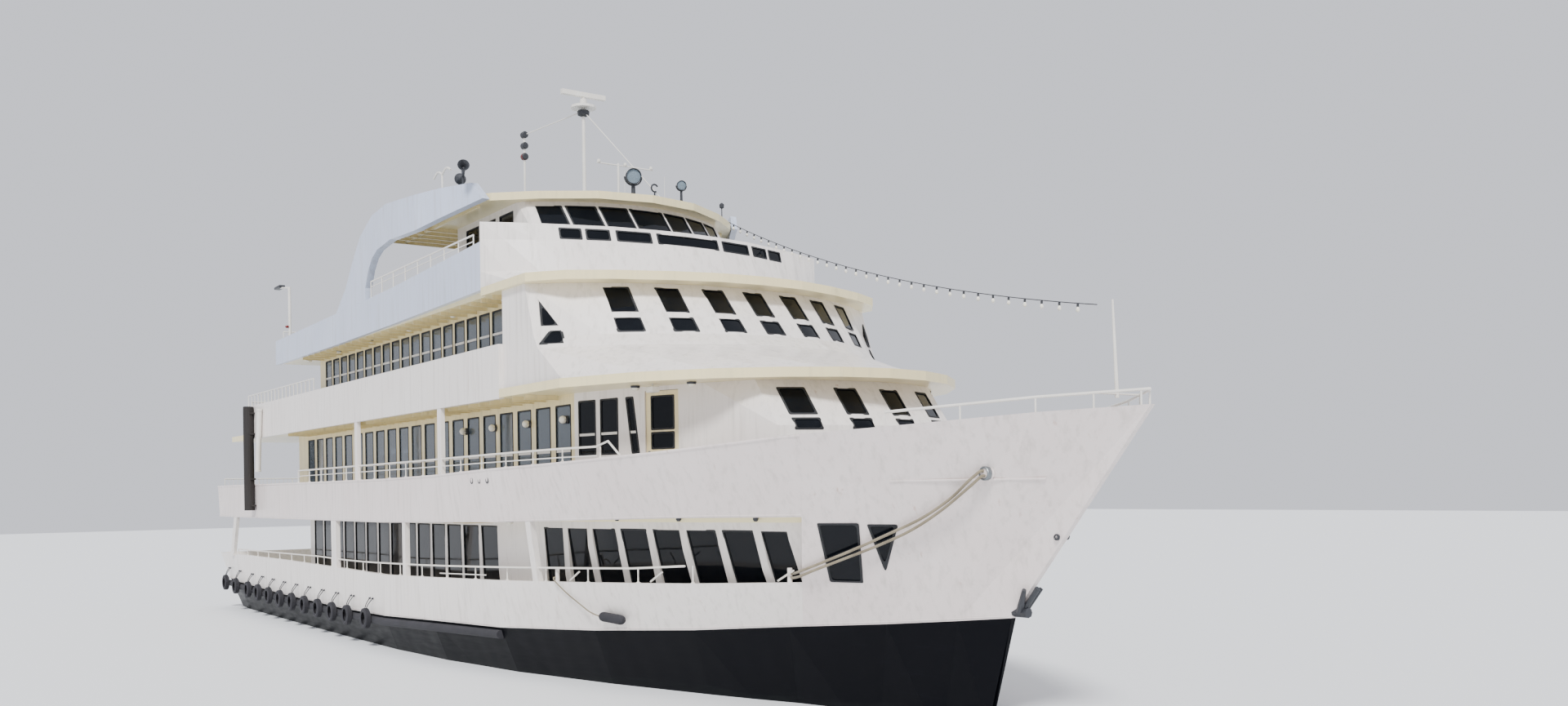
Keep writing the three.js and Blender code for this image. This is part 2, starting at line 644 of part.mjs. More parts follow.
for (const { side, sign } of SIDES) {
  add('panel_saloon_' + side, white, sidePanel(SALOON_PANEL, sign));
  add('panel_bridge_' + side, archBlue, sidePanel(BRIDGE_PANEL, sign));
  for (const [letter, m] of UPPER_POSTS) {
    add('post_upper_' + letter + '_' + side, white, upperPost(m, sign));
  }
}

// Saloon front: from the visor's edge up over the raked panes to the bridge deck.
const SALOON_LEVELS = [
  [DECK.saloon + GAP, 4.1], [6900, 1.45], [7150, 1.0], [DECK.bridge - DECK_THICK - GAP, -0.05],
];
const saloonPanes = range(7, 0.96, -2.88).flatMap((y) => [
  [y - PANE / 2, y + PANE / 2, 7.62, 8.17],
  [y - PANE / 2, y + PANE / 2, 7.2, 7.5],
]);
const QUARTER_PANES = [
  [[28.0, 7.95], [28.46, 7.36], [28.2, 7.36]],
  [[28.36, 7.26], [28.52, 7.26], [28.7, 6.98], [28.32, 6.98]],
];

function saloonFront() {
  const wall = rakedWall(SALOON_FRONT, SALOON_LEVELS);
  const returns = SIDES.map(({ sign }) => box(
    at(26.6), at(26.6) + WALL, Math.min(sign * 3600, sign * 4350), Math.max(sign * 3600, sign * 4350),
    DECK.saloon + GAP, DECK.bridge - DECK_THICK - GAP,
  ));
  const quarter = SIDES.flatMap(({ sign }) => QUARTER_PANES.map((outline) => prism(
    outline.map(([m, z]) => [at(m), z * 1000]), sign * 3300, sign * 4600,
  )));
  const holes = [...frontPanes(saloonPanes, 27.9, 32), ...quarter];
  return cut(join([wall, ...returns]), holes);
}
add('front_saloon', white, saloonFront());

// Bridge deck, its visor, the sloping front under the bridge and the bridge bulwark
const BRIDGE_PLATE = [
  [8.9, 4.38], [25.7, 4.38], [25.7, 4.5], [28.0, 4.5], [28.7, 3.95], [29.2, 3.1], [29.65, 2.0],
  [29.93, 1.0], [30.0, 0],
];
add('deck_bridge', cream,
  plate(narrow(BRIDGE_PLATE), DECK.bridge - DECK_THICK, DECK.bridge));

// The bridge bulwark's head is a cap rail over a row of long slots: [inner, outer] in metres.
const BRIDGE_LEVELS = [[DECK.bridge + GAP, 2.6], [8800, 0.3], [9500, 0], [9880, -0.15]];
const BRIDGE_SLOTS = [[-0.8, 0.8], [0.95, 1.75], [1.9, 2.4], [2.5, 2.95]];

function bridgeFront() {
  const both = [...BRIDGE_SLOTS, ...BRIDGE_SLOTS.slice(1).map(([y0, y1]) => [-y1, -y0])];
  const slots = both.map(([y0, y1]) => [y0, y1, 9.55, 9.79]);
  return cut(rakedWall(BRIDGE_FRONT, BRIDGE_LEVELS, 90), frontPanes(slots, 25.3, 27.5));
}
add('front_bridge', white, bridgeFront());

// Pilothouse
const PILOT_LEVELS = [[DECK.bridge + GAP, 0.85], [9850, 0.85], [DECK.roof - DECK_THICK - GAP, -0.05]];
const PILOT_PANES = [
  [-0.44, 0.44], [0.51, 1.16], [1.24, 1.88], [1.96, 2.48],
  [-1.16, -0.51], [-1.88, -1.24], [-2.48, -1.96],
].map(([y0, y1]) => [y0, y1, 9.95, 10.74]);

function pilothouse() {
  const side = SIDES.flatMap(({ sign }) => sidePanes(
    [[20.6, 0.8, 0, 9.7, 10.7], [21.65, 0.8, 0, 9.7, 10.7], [22.7, 0.8, 0, 9.7, 10.7]], sign, 2.5, 3.0,
  ));
  return cut(rakedWall(PILOTHOUSE, PILOT_LEVELS), [
    ...frontPanes(PILOT_PANES, 23.8, 26.4), ...side,
  ]);
}
add('pilothouse', white, pilothouse());
add('pilothouse_aft', white,
  aftWall(20.0, inner(2.75), DECK.bridge + GAP, DECK.roof - DECK_THICK - GAP));

// Roof and the swept arches that carry it. Seen from above, the arches turn in with the roof's
// rounded corners: [place, half breadth] in metres.
const ARCH_HALF = [[20.5, 4.5], [21.5, 4.42], [22.4, 4.15], [23.1, 3.82], [23.7, 3.5]];
const ARCH_THICK = 0.18;
const archHalf = (m) => lerpTable(ARCH_HALF, m, 1);
const ROOF_PLATE = [
  ...[17.7, 20.5, 21.5, 22.4].map((m) => [m, archHalf(m) - ARCH_THICK - GAP / 1000]),
  [23.3, 3.51], [23.6, 3.33], [24.35, 2.5], [25.1, 1.3], [25.35, 0],
];
add('roof', white, plate(ROOF_PLATE, DECK.roof - DECK_THICK, DECK.roof));

// Sections of an arch from its foot to its forward end: place and height (m) of its upper edge,
// then of its lower edge. The foot's heights are those of the panel under it.
const ARCH = [
  [15.3, 0, 17.9, 0], [16.2, 9.7, 17.9, 9.5], [16.8, 10.3, 18.2, 9.95], [17.5, 10.9, 18.5, 10.2],
  [18.5, 11.3, 18.9, 10.35], [19.6, 11.4, 19.9, 10.45], [20.5, 11.33, 20.5, 10.42],
  [21.5, 11.28, 21.5, 10.42], [22.4, 11.29, 22.4, 10.58], [23.3, 11.3, 23.6, 10.9],
];

function arch(sign) {
  const foot = (m) => lerpTable(BRIDGE_PANEL, m, 2) + 0.001;
  return loft(ARCH.map(([upper, z1, lower, z0]) => {
    const corner = (m, z, inset) => [at(m), sign * (archHalf(m) - inset) * 1000, (z || foot(m)) * 1000];
    return [
      corner(upper, z1, 0), corner(lower, z0, 0),
      corner(lower, z0, ARCH_THICK), corner(upper, z1, ARCH_THICK),
    ];
  }), 2);
}
for (const { side, sign } of SIDES) add('arch_' + side, archBlue, arch(sign));

// Mast with its platform, forward stay, aft stay and the pole of lamps that the stay holds
const MAST = { x: at(21.8), platform: 13980 };
const LAMP_POLE = { x: at(20.1), y: -900, head: 13620 };

function mast() {
  const foot = DECK.roof + GAP;
  const lamp = (z) => bar([LAMP_POLE.x - 70, LAMP_POLE.y, z], [LAMP_POLE.x + 70, LAMP_POLE.y, z], 80, 8);
  return join([
    bar([MAST.x, 0, foot], [MAST.x, 0, MAST.platform + 50], 55, 12, 40),
    bar([MAST.x, 0, foot], [MAST.x, 0, foot + 40], 160, 12),
    bar([MAST.x, 0, MAST.platform], [MAST.x, 0, MAST.platform + 60], 330, 12),
    bar([MAST.x, 0, MAST.platform + 50], [MAST.x, 0, MAST.platform + 240], 90, 12),
    bar([MAST.x, 0, MAST.platform - 60], [at(24.7), 700, foot + 30], 14, 6),
    bar([at(24.7), 700, foot], [at(24.7), 700, foot + 60], 50, 8),
    bar([MAST.x, 0, MAST.platform - 60], [LAMP_POLE.x, LAMP_POLE.y, LAMP_POLE.head - 60], 14, 6),
    bar([LAMP_POLE.x, LAMP_POLE.y, foot], [LAMP_POLE.x, LAMP_POLE.y, LAMP_POLE.head], 30, 8),
    lamp(LAMP_POLE.head - 60), lamp(LAMP_POLE.head - 350), lamp(LAMP_POLE.head - 640),
  ]);
}
add('mast', white, mast().simplify(0.5));
add('radar_scanner', white, join([
  bar([MAST.x, 0, MAST.platform + 240 + SEAT], [MAST.x, 0, MAST.platform + 310], 50, 12),
  box(MAST.x - 60, MAST.x + 60, -620, 620, MAST.platform + 300, MAST.platform + 420),
]));

// Bow rail: one pipe round the bow on posts, with a cross bar that carries the jackstaff
const RAIL = { height: 230, radius: 24, post: 15, sides: 8 };
const RAIL_STATIONS = [9.8, 10.4, 11, 11.5, 11.9];

// A pipe along a path of points at nearly level height, with one ring at each point.
function pipe(path, radius, sides) {
  const points = path.map((p) => new THREE.Vector3(...p));
  const rings = points.map((point, i) => {
    const before = points[Math.max(i - 1, 0)];
    const after = points[Math.min(i + 1, points.length - 1)];
    const ahead = after.clone().sub(before).setZ(0).normalize();
    const across = new THREE.Vector3(-ahead.y, ahead.x, 0);
    return range(sides, (2 * Math.PI) / sides, Math.PI / sides).map((angle) => (
      point.clone().addScaledVector(across, radius * Math.cos(angle))
        .add(new THREE.Vector3(0, 0, radius * Math.sin(angle))).toArray()));
  });
  return loft(rings);
}

function bowRail() {
  const top = (s, sign) => {
    const [x, y, z] = onSide(s, sheer(s), PLATE / 2, sign);
    return [x, y, z + RAIL.height];
  };
  const nose = [at(39.9), 0, sheer(12) + RAIL.height];
  const [stbd, port] = SIDES.map(({ sign }) => RAIL_STATIONS.map((s) => top(s, sign)));
  const path = [...stbd, nose, ...port.slice().reverse()];
  const posts = [...stbd, ...port].map(([x, y, z], i) => {
    const foot = sheer(RAIL_STATIONS[i % RAIL_STATIONS.length]) + 1.3;
    return bar([x, y, foot], [x, y, z + 2], RAIL.post, 6);
  });
  const [a, b] = [top(11.5, -1), top(11.5, 1)];
  const staff = bar([a[0], 0, a[2] - 60], [a[0] - 60, 0, 6800], 34, 8, 15);
  return join([pipe(path, RAIL.radius, RAIL.sides), ...posts, bar(a, b, RAIL.post, 6), staff]);
}
add('bow_rail', white, bowRail().simplify(0.5));

// Anchor stowed on the foot of the stem: its crown stands out forward, a fluke on each side
function anchor() {
  const flukes = SIDES.map(({ sign }) => (
    bar([at(37.23), sign * 40, 1930], [at(37.49), sign * 200, 2320], 70, 8, 35)));
  const crown = bar([at(36.95), 0, 1925], [at(37.39), 0, 1925], 85, 8);
  const shank = bar([at(37.25), 0, 1930], [at(37.6), 0, 2340], 45, 8);
  return cut(join([crown, shank, ...flukes]), [bow, hull].map((solid) => (
    solid.translate([SEAT, 0, 0]))));
}
add('anchor', dark, anchor());

// Exhaust pipes up the outside of the quarters
const EXHAUST = { x: at(5.8), foot: 3560, head: 7020, radius: 170 };
for (const { side, sign } of SIDES) {
  const y = sign * (HALF + EXHAUST.radius + SEAT);
  add('exhaust_' + side, dark, bar(
    [EXHAUST.x, y, EXHAUST.foot], [EXHAUST.x, y, EXHAUST.head], EXHAUST.radius, 16,
  ));
}

// Rubbing strake on the paint line, with tyre fenders hung along the after part
const TYRES = [1.6, 3.4, 5.2, 6.6, 8.0, 9.4, 10.8, 12.2, 13.6, 15.0, 16.4, 18.0];
const TYRE = { radius: 280, width: 170 };
const STRAKE = 112;

function strake(sign) {
  const stations = [0.4, 1, 2, 3, 4, 5, 6];
  const block = plating(stations, (s) => paintLine(s) - 260, (s) => paintLine(s) - 60, sign,
    STRAKE + 150, -STRAKE);
  const belt = cut(block, [hull.translate([0, sign * SEAT, 0])]);
  const tyres = TYRES.map((m) => {
    const s = (m < 9 ? 1 + (m - 3) / 6 : m < 15.5 ? 2 + (m - 9) / 6.5 : 3 + (m - 15.5) / 3.5);
    const z = paintLine(Math.max(s, 0.4)) - 120;
    const { half } = sidePoint(Math.max(s, 0.4), z, -STRAKE);
    const outer = sign * (half + TYRE.width);
    return bar([at(m), sign * (half - 60), z], [at(m), outer, z], TYRE.radius, 12);
  });
  return join([belt, ...tyres]);
}
for (const { side, sign } of SIDES) add('strake_' + side, rubber, strake(sign));

// Rudders and propellers
const PROPELLER = { radius: 540, hub: 120, blades: 4 };

function rudder(sign) {
  const y = sign * SHAFT.y;
  return join([
    bar([RUDDER.x, y, RUDDER.foot + 200], [RUDDER.x, y, RUDDER.head - SEAT], RUDDER.stock, 12),
    loft([[0.25, 0], [0.05, 55], [-0.65, 8]].map(([m, half]) => [
      [RUDDER.x + m * 1000, y - half - 4, RUDDER.foot], [RUDDER.x + m * 1000, y + half + 4, RUDDER.foot],
      [RUDDER.x + m * 1000, y + half + 4, RUDDER.head - 110],
      [RUDDER.x + m * 1000, y - half - 4, RUDDER.head - 110],
    ])),
  ]);
}

function blade(angle) {
  const rows = [[80, 120, 55], [300, 190, 40], [PROPELLER.radius, 70, 62]];
  const pitch = (r) => Math.atan2(620, 2 * Math.PI * r * 0.55);
  const rings = rows.map(([r, half]) => {
    const turn = pitch(r);
    return [[-half, -14], [half, -14], [half, 14], [-half, 14]].map(([u, t]) => [
      u * Math.sin(turn) + t * Math.cos(turn), u * Math.cos(turn) - t * Math.sin(turn), r,
    ]);
  });
  const solid = toGeometry(loft(rings, 2));
  solid.rotateX(angle);
  return solid;
}

function propeller() {
  const y = -SHAFT.y;
  const x = SHAFT.aft;
  const blades = range(PROPELLER.blades, (2 * Math.PI) / PROPELLER.blades, 0.4).map((angle) => (
    toSolid(blade(angle).translate(x, y, SHAFT.z))));
  return join([
    bar([x - 170, y, SHAFT.z], [x + 150, y, SHAFT.z], PROPELLER.hub, 16),
    bar([x, y, SHAFT.z], [SHAFT.forward, y, SHAFT.z], SHAFT.radius, 16),
    ...blades,
  ]);
}
const stbdPropeller = propeller();
add('propeller_stbd', bronze, stbdPropeller);
add('propeller_port', bronze, toPort(stbdPropeller));
for (const { side, sign } of SIDES) add('rudder_' + side, navy, rudder(sign));

// Ropes: a round section along a smooth curve. Points are [station, height, stand-off] in the
// hull's own terms, in mm.
function ropeTube(points, radius, steps, sides = 8) {
  const curve = new THREE.CatmullRomCurve3(points.map((p) => new THREE.Vector3(...p)));
  const section = new THREE.Shape(range(sides, (2 * Math.PI) / sides, 0).map((angle) => (
    new THREE.Vector2(radius * Math.cos(angle), radius * Math.sin(angle)))));
  return toSolid(new THREE.ExtrudeGeometry(section, {
    steps, bevelEnabled: false, extrudePath: curve,
  }));
}

const alongside = (route) => route.map(([s, z, out]) => onSide(s, z, -out, -1));

// Both lines hang from the face of the starboard fairlead to the cleat at the walkway's end.
// Each row: letter, offset of its end on the fairlead's face, height at the cleat, route.
const LINE = { radius: 24, steps: 64 };
const MOORING_LINES = [
  ['a', [-20, 38], 2500, [
    [10.72, 4110, 180], [10.56, 3820, 130], [10.3, 3500, 110], [9.98, 3240, 110],
    [9.64, 2930, 110], [9.34, 2690, 100], [9.16, 2560, 60],
  ]],
  ['b', [15, -38], 2425, [
    [10.74, 3990, 200], [10.5, 3620, 150], [10.22, 3300, 130], [9.9, 3040, 120],
    [9.56, 2770, 120], [9.3, 2570, 110], [9.16, 2470, 60],
  ]],
];
for (const [letter, [dx, dz], height, route] of MOORING_LINES) {
  const [fx, fy, fz] = onSide(FAIRLEAD.s, FAIRLEAD.z, -FAIRLEAD.out, -1);
  const atFairlead = [0, 50].map((off) => [fx + dx, fy - SEAT - off, fz + dz]);
  const [x, y] = cleatFoot(CLEAT.lines, -1);
  const atCleat = [60, 0].map((off) => [x + CLEAT.radius + SEAT + off, y, height]);
  add('mooring_line_' + letter, rope,
    ropeTube([...atFairlead, ...alongside(route), ...atCleat], LINE.radius, LINE.steps));
}

// Fender on its rope, resting against the side below the bulwark
const FENDER = { radius: 100, off: 45, aft: [7.16, 1500], forward: [7.4, 1440] };
const fenderEnd = ([s, z]) => onSide(s, z, -FENDER.radius - FENDER.off, -1);
const [fenderAft, fenderForward] = [FENDER.aft, FENDER.forward].map(fenderEnd);
add('fender', rubber, bar(fenderAft, fenderForward, FENDER.radius, 12));

const FENDER_ROPE = [
  [6.7, 2190, 50], [6.76, 2050, 60], [6.84, 1880, 60], [6.95, 1700, 80], [7.05, 1570, 125],
];
function fenderRope() {
  const [x, y] = cleatFoot(CLEAT.fender, -1);
  const atCleat = [0, 40].map((off) => [x, y - CLEAT.radius - SEAT - off, 2240]);
  const aft = new THREE.Vector3(...fenderAft);
  const away = aft.clone().sub(new THREE.Vector3(...fenderForward)).normalize();
  const atFender = [60, SEAT].map((off) => aft.clone().addScaledVector(away, off).toArray());
  return ropeTube([...atCleat, ...alongside(FENDER_ROPE), ...atFender], 14, 48);
}
add('fender_rope', rope, fenderRope());

export default ferry;
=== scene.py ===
"""Passenger ferry afloat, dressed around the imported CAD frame.

Metres: +X to the bow, +Y to port, +Z up, origin amidships on the waterline. Places along the
ship are given in metres forward of the stern bulwark and turned into X by at().
"""

import math

import bmesh
import bpy
from mathutils import Matrix, Vector


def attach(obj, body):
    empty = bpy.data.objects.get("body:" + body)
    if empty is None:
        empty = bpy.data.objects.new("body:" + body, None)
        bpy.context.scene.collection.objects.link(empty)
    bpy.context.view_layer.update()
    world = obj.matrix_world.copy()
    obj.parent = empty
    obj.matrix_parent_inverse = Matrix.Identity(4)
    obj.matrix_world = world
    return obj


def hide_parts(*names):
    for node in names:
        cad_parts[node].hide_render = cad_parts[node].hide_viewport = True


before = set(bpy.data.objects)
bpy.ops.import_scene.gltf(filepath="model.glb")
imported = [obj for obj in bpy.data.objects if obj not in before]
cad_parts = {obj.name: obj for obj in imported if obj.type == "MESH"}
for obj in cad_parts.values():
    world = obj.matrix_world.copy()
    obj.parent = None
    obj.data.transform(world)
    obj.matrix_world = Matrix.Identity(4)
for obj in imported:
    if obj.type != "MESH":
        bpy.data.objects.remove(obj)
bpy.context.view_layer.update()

MIDSHIP = 19.65
HALF = 4.5
SIDES = (("stbd", -1), ("port", 1))
UP = Vector((0, 0, 1))


def at(metres):
    return metres - MIDSHIP


def spot(m, y, z):
    """A point by its place along the ship, its offset and its height."""
    return Vector((at(m), y, z))


# ---------------------------------------------------------------- camera

# A low viewpoint off the starboard bow, a little rolled, with the frame shifted up.
CAMERA_AT = (32.8, -15.53, 4.0)
CAMERA_ALONG = (-0.8156, 0.5786, 0.0)
CAMERA_ROLL = math.radians(-0.87)
LENS_MM = 30.0
FRAME_SHIFT = 0.087


def make_camera():
    data = bpy.data.cameras.new("camera")
    data.lens = LENS_MM
    data.sensor_width = 36.0
    data.shift_y = FRAME_SHIFT
    data.clip_end = 500
    camera = bpy.data.objects.new("camera", data)
    bpy.context.scene.collection.objects.link(camera)
    turn = Vector(CAMERA_ALONG).to_track_quat("-Z", "Y").to_matrix().to_4x4()
    camera.matrix_world = (
        Matrix.Translation(CAMERA_AT) @ turn @ Matrix.Rotation(CAMERA_ROLL, 4, "Z")
    )
    bpy.context.scene.camera = camera


make_camera()


# ---------------------------------------------------------------- the ship's surfaces

# Columns: place, half breadth and height of the paint line, then of the sheer.
STATIONS = [
    (0.27, 4.33, 1.06, 0.27, 4.50, 4.45),
    (3.0, 4.44, 1.00, 3.0, 4.50, 4.45),
    (9.0, 4.47, 0.90, 9.0, 4.50, 4.44),
    (15.5, 4.48, 0.86, 15.5, 4.50, 4.43),
    (19.0, 4.48, 0.90, 19.0, 4.50, 4.43),
    (22.0, 4.33, 0.99, 22.5, 4.50, 4.46),
    (25.15, 3.92, 1.03, 26.0, 4.50, 4.54),
    (28.3, 3.21, 1.16, 29.05, 4.33, 4.60),
    (30.95, 2.46, 1.32, 32.15, 3.81, 4.72),
    (33.05, 1.71, 1.49, 34.8, 3.02, 4.89),
    (34.95, 0.98, 1.63, 36.92, 2.10, 4.99),
    (36.2, 0.46, 1.74, 38.62, 1.12, 5.10),
    (37.05, 0.05, 1.82, 39.95, 0.05, 5.17),
]
# Top of the main deck's bulwark: station and height.
BULWARK_TOP = [(0, 1.96), (2, 2.0), (4, 1.96), (6, 2.1), (8, 2.25), (9.15, 2.35)]
# Main saloon's wall: station, half breadth at its foot and at its head.
MAIN_WALL = [
    (2, 3.55, 3.55), (4, 3.55, 3.55), (5, 3.5, 3.55), (6, 3.27, 3.45), (7, 2.66, 3.15),
    (8, 2.0, 2.57), (9, 1.42, 2.04), (9.1495, 1.33, 1.97),
]
MAIN_WALL_HEAD = 3.42
HALVINGS = 30  # Steps of a search by halves.
# Half breadths of the upright walls, and heights of the decks and of the ceilings under them.
UPPER_WALL, SALOON_WALL, PILOT_WALL = 3.6, 3.7, 2.75
DECK = {"upper": 3.6, "fore": 4.15, "saloon": 6.2, "bridge": 8.45, "roof": 11.05}
CEILING = {"main": 3.42, "upper": 6.02, "saloon": 8.27, "roof": 10.87}

# Raked fronts. Rows: half breadth, place at the head, share of the rake. Levels: height, and
# how far the rake carries the wall forward there.
UPPER_FRONT = [
    (3.6, 28.3, 0), (3.3, 29.75, 0), (2.6, 31.65, 0), (2.1, 32.75, 1), (1.35, 33.1, 1),
    (0.6, 33.27, 1), (0, 33.3, 1),
]
SALOON_FRONT = [
    (4.4, 26.6, 0), (4.4, 27.75, 0.4), (3.4, 28.47, 0.65), (2.6, 28.9, 0.8),
    (1.8, 29.2, 0.9), (1.0, 29.4, 1), (0, 29.45, 1),
]
BRIDGE_FRONT = [
    (4.5, 25.7, 0), (4.05, 25.95, 0.3), (3.45, 26.25, 0.6), (2.8, 26.5, 0.75), (1.8, 26.83, 0.9),
    (0.8, 27.0, 1), (0, 27.05, 1),
]
PILOTHOUSE = [
    (2.75, 20.0, 0), (2.75, 23.7, 0), (2.64, 23.95, 0.8), (1.92, 24.4, 1), (1.2, 24.73, 1),
    (0.48, 24.9, 1), (0, 24.95, 1),
]
UPPER_LEVELS = [(3.6, 0.6), (5.15, 0.6), (6.02, -0.1)]
SALOON_LEVELS = [(6.2, 4.1), (6.9, 1.45), (7.15, 1.0), (8.27, -0.05)]
BRIDGE_LEVELS = [(8.45, 2.6), (8.8, 0.3), (9.5, 0), (9.88, -0.15)]
PILOT_LEVELS = [(8.45, 0.85), (9.85, 0.85), (10.87, -0.05)]


def between(table, x, column=1):
    if x <= table[0][0]:
        return table[0][column]
    for low, high in zip(table, table[1:]):
        if x <= high[0]:
            share = (x - low[0]) / (high[0] - low[0])
            return low[column] + share * (high[column] - low[column])
    return table[-1][column]


def station(s):
    i = max(0, min(int(s), len(STATIONS) - 2))
    share = s - i
    return [a + share * (b - a) for a, b in zip(STATIONS[i], STATIONS[i + 1])]


def on_side(s, z, out=0.0, sign=-1):
    """A point of the hull's side at station s and height z, standing out by out."""
    low_at, low_half, low_z, top_at, top_half, top_z = station(s)
    share = (z - low_z) / (top_z - low_z)
    x = low_at + share * (top_at - low_at)
    half = low_half + share * (top_half - low_half)
    return spot(x, sign * (half + out), z)


def station_at(m, z):
    """The station whose line passes the place m at height z."""
    low, high = 0.0, len(STATIONS) - 1.0
    for _ in range(HALVINGS):
        middle = (low + high) / 2
        if on_side(middle, z).x < at(m):
            low = middle
        else:
            high = middle
    return low


def beside(m, z, out=0.0, sign=-1):
    """A point of the hull's side at the place m and height z."""
    return on_side(station_at(m, z), z, out, sign)


def bulwark_top(m):
    return between(BULWARK_TOP, station_at(m, 2.1))


def sheer(m):
    return between([(row[3], row[5]) for row in STATIONS], m)


def paint_line(m):
    return between([(row[0], row[2]) for row in STATIONS], m)


def front_x(rows, levels, y, z):
    """Outer face of a raked front at half breadth y and height z."""
    rising = rows[::-1]
    place = between(rising, abs(y))
    return at(place + between(rising, abs(y), 2) * between(levels, z))


def front_half(rows, m):
    """Half breadth of a front's flat side at the place m."""
    return between([(row[1], row[0]) for row in rows], m)


def main_wall_half(m, z):
    """Half breadth of the main saloon's wall, which leans with the hull's stations."""
    low, high = MAIN_WALL[0][0], MAIN_WALL[-1][0]
    for _ in range(HALVINGS):
        s = (low + high) / 2
        foot = station(s)
        head = on_side(s, MAIN_WALL_HEAD)
        share = (z - foot[2]) / (MAIN_WALL_HEAD - foot[2])
        if at(foot[0]) + share * (head.x - at(foot[0])) < at(m):
            low = s
        else:
            high = s
    foot_half, head_half = between(MAIN_WALL, s), between(MAIN_WALL, s, 2)
    return foot_half + share * (head_half - foot_half)


# ---------------------------------------------------------------- shapes

def smooth(points, steps=10):
    """A smooth curve through the points, evenly paced by the root of their spacing."""
    ends = [points[0] * 2 - points[1], *points, points[-1] * 2 - points[-2]]
    line = []
    for four in zip(ends, ends[1:], ends[2:], ends[3:]):
        knots = [0.0]
        for a, b in zip(four, four[1:]):
            knots.append(knots[-1] + math.sqrt((b - a).length))
        for i in range(steps):
            u = knots[1] + (knots[2] - knots[1]) * i / steps
            first = [
                a.lerp(b, (u - s) / (e - s))
                for a, b, s, e in zip(four, four[1:], knots, knots[1:])
            ]
            second = [
                first[j].lerp(first[j + 1], (u - knots[j]) / (knots[j + 2] - knots[j]))
                for j in (0, 1)
            ]
            line.append(second[0].lerp(second[1], (u - knots[1]) / (knots[2] - knots[1])))
    return [*line, points[-1]]


def spaced(line, count):
    """The same line as count points at equal steps of its length."""
    lengths = [0.0]
    for a, b in zip(line, line[1:]):
        lengths.append(lengths[-1] + (b - a).length)
    points = []
    i = 0
    for n in range(count):
        wanted = lengths[-1] * n / (count - 1)
        while i < len(line) - 2 and lengths[i + 1] < wanted:
            i += 1
        share = (wanted - lengths[i]) / (lengths[i + 1] - lengths[i])
        points.append(line[i].lerp(line[i + 1], share))
    return points


def length_of(line):
    return sum((b - a).length for a, b in zip(line, line[1:]))


def square_to(direction):
    """Two directions square to the given one and to each other."""
    across = direction.cross(UP if abs(direction.z) < 0.9 else Vector((1, 0, 0))).normalized()
    return across, direction.cross(across).normalized()


def carried(path):
    """Frames along a path, each turned from the last without twist."""
    across, frames = None, []
    for i, point in enumerate(path):
        ahead = (path[min(i + 1, len(path) - 1)] - path[max(i - 1, 0)]).normalized()
        if across is None:
            across, _ = square_to(ahead)
        across = (across - ahead * across.dot(ahead)).normalized()
        frames.append((point, across, ahead.cross(across)))
    return frames


def even(start, end, steps):
    """Numbers from start to end in even steps, both ends with them."""
    return [start + (end - start) * k / steps for k in range(steps + 1)]


def turns(sides):
    """The angles of a ring's points."""
    return [2 * math.pi * k / sides for k in range(sides)]


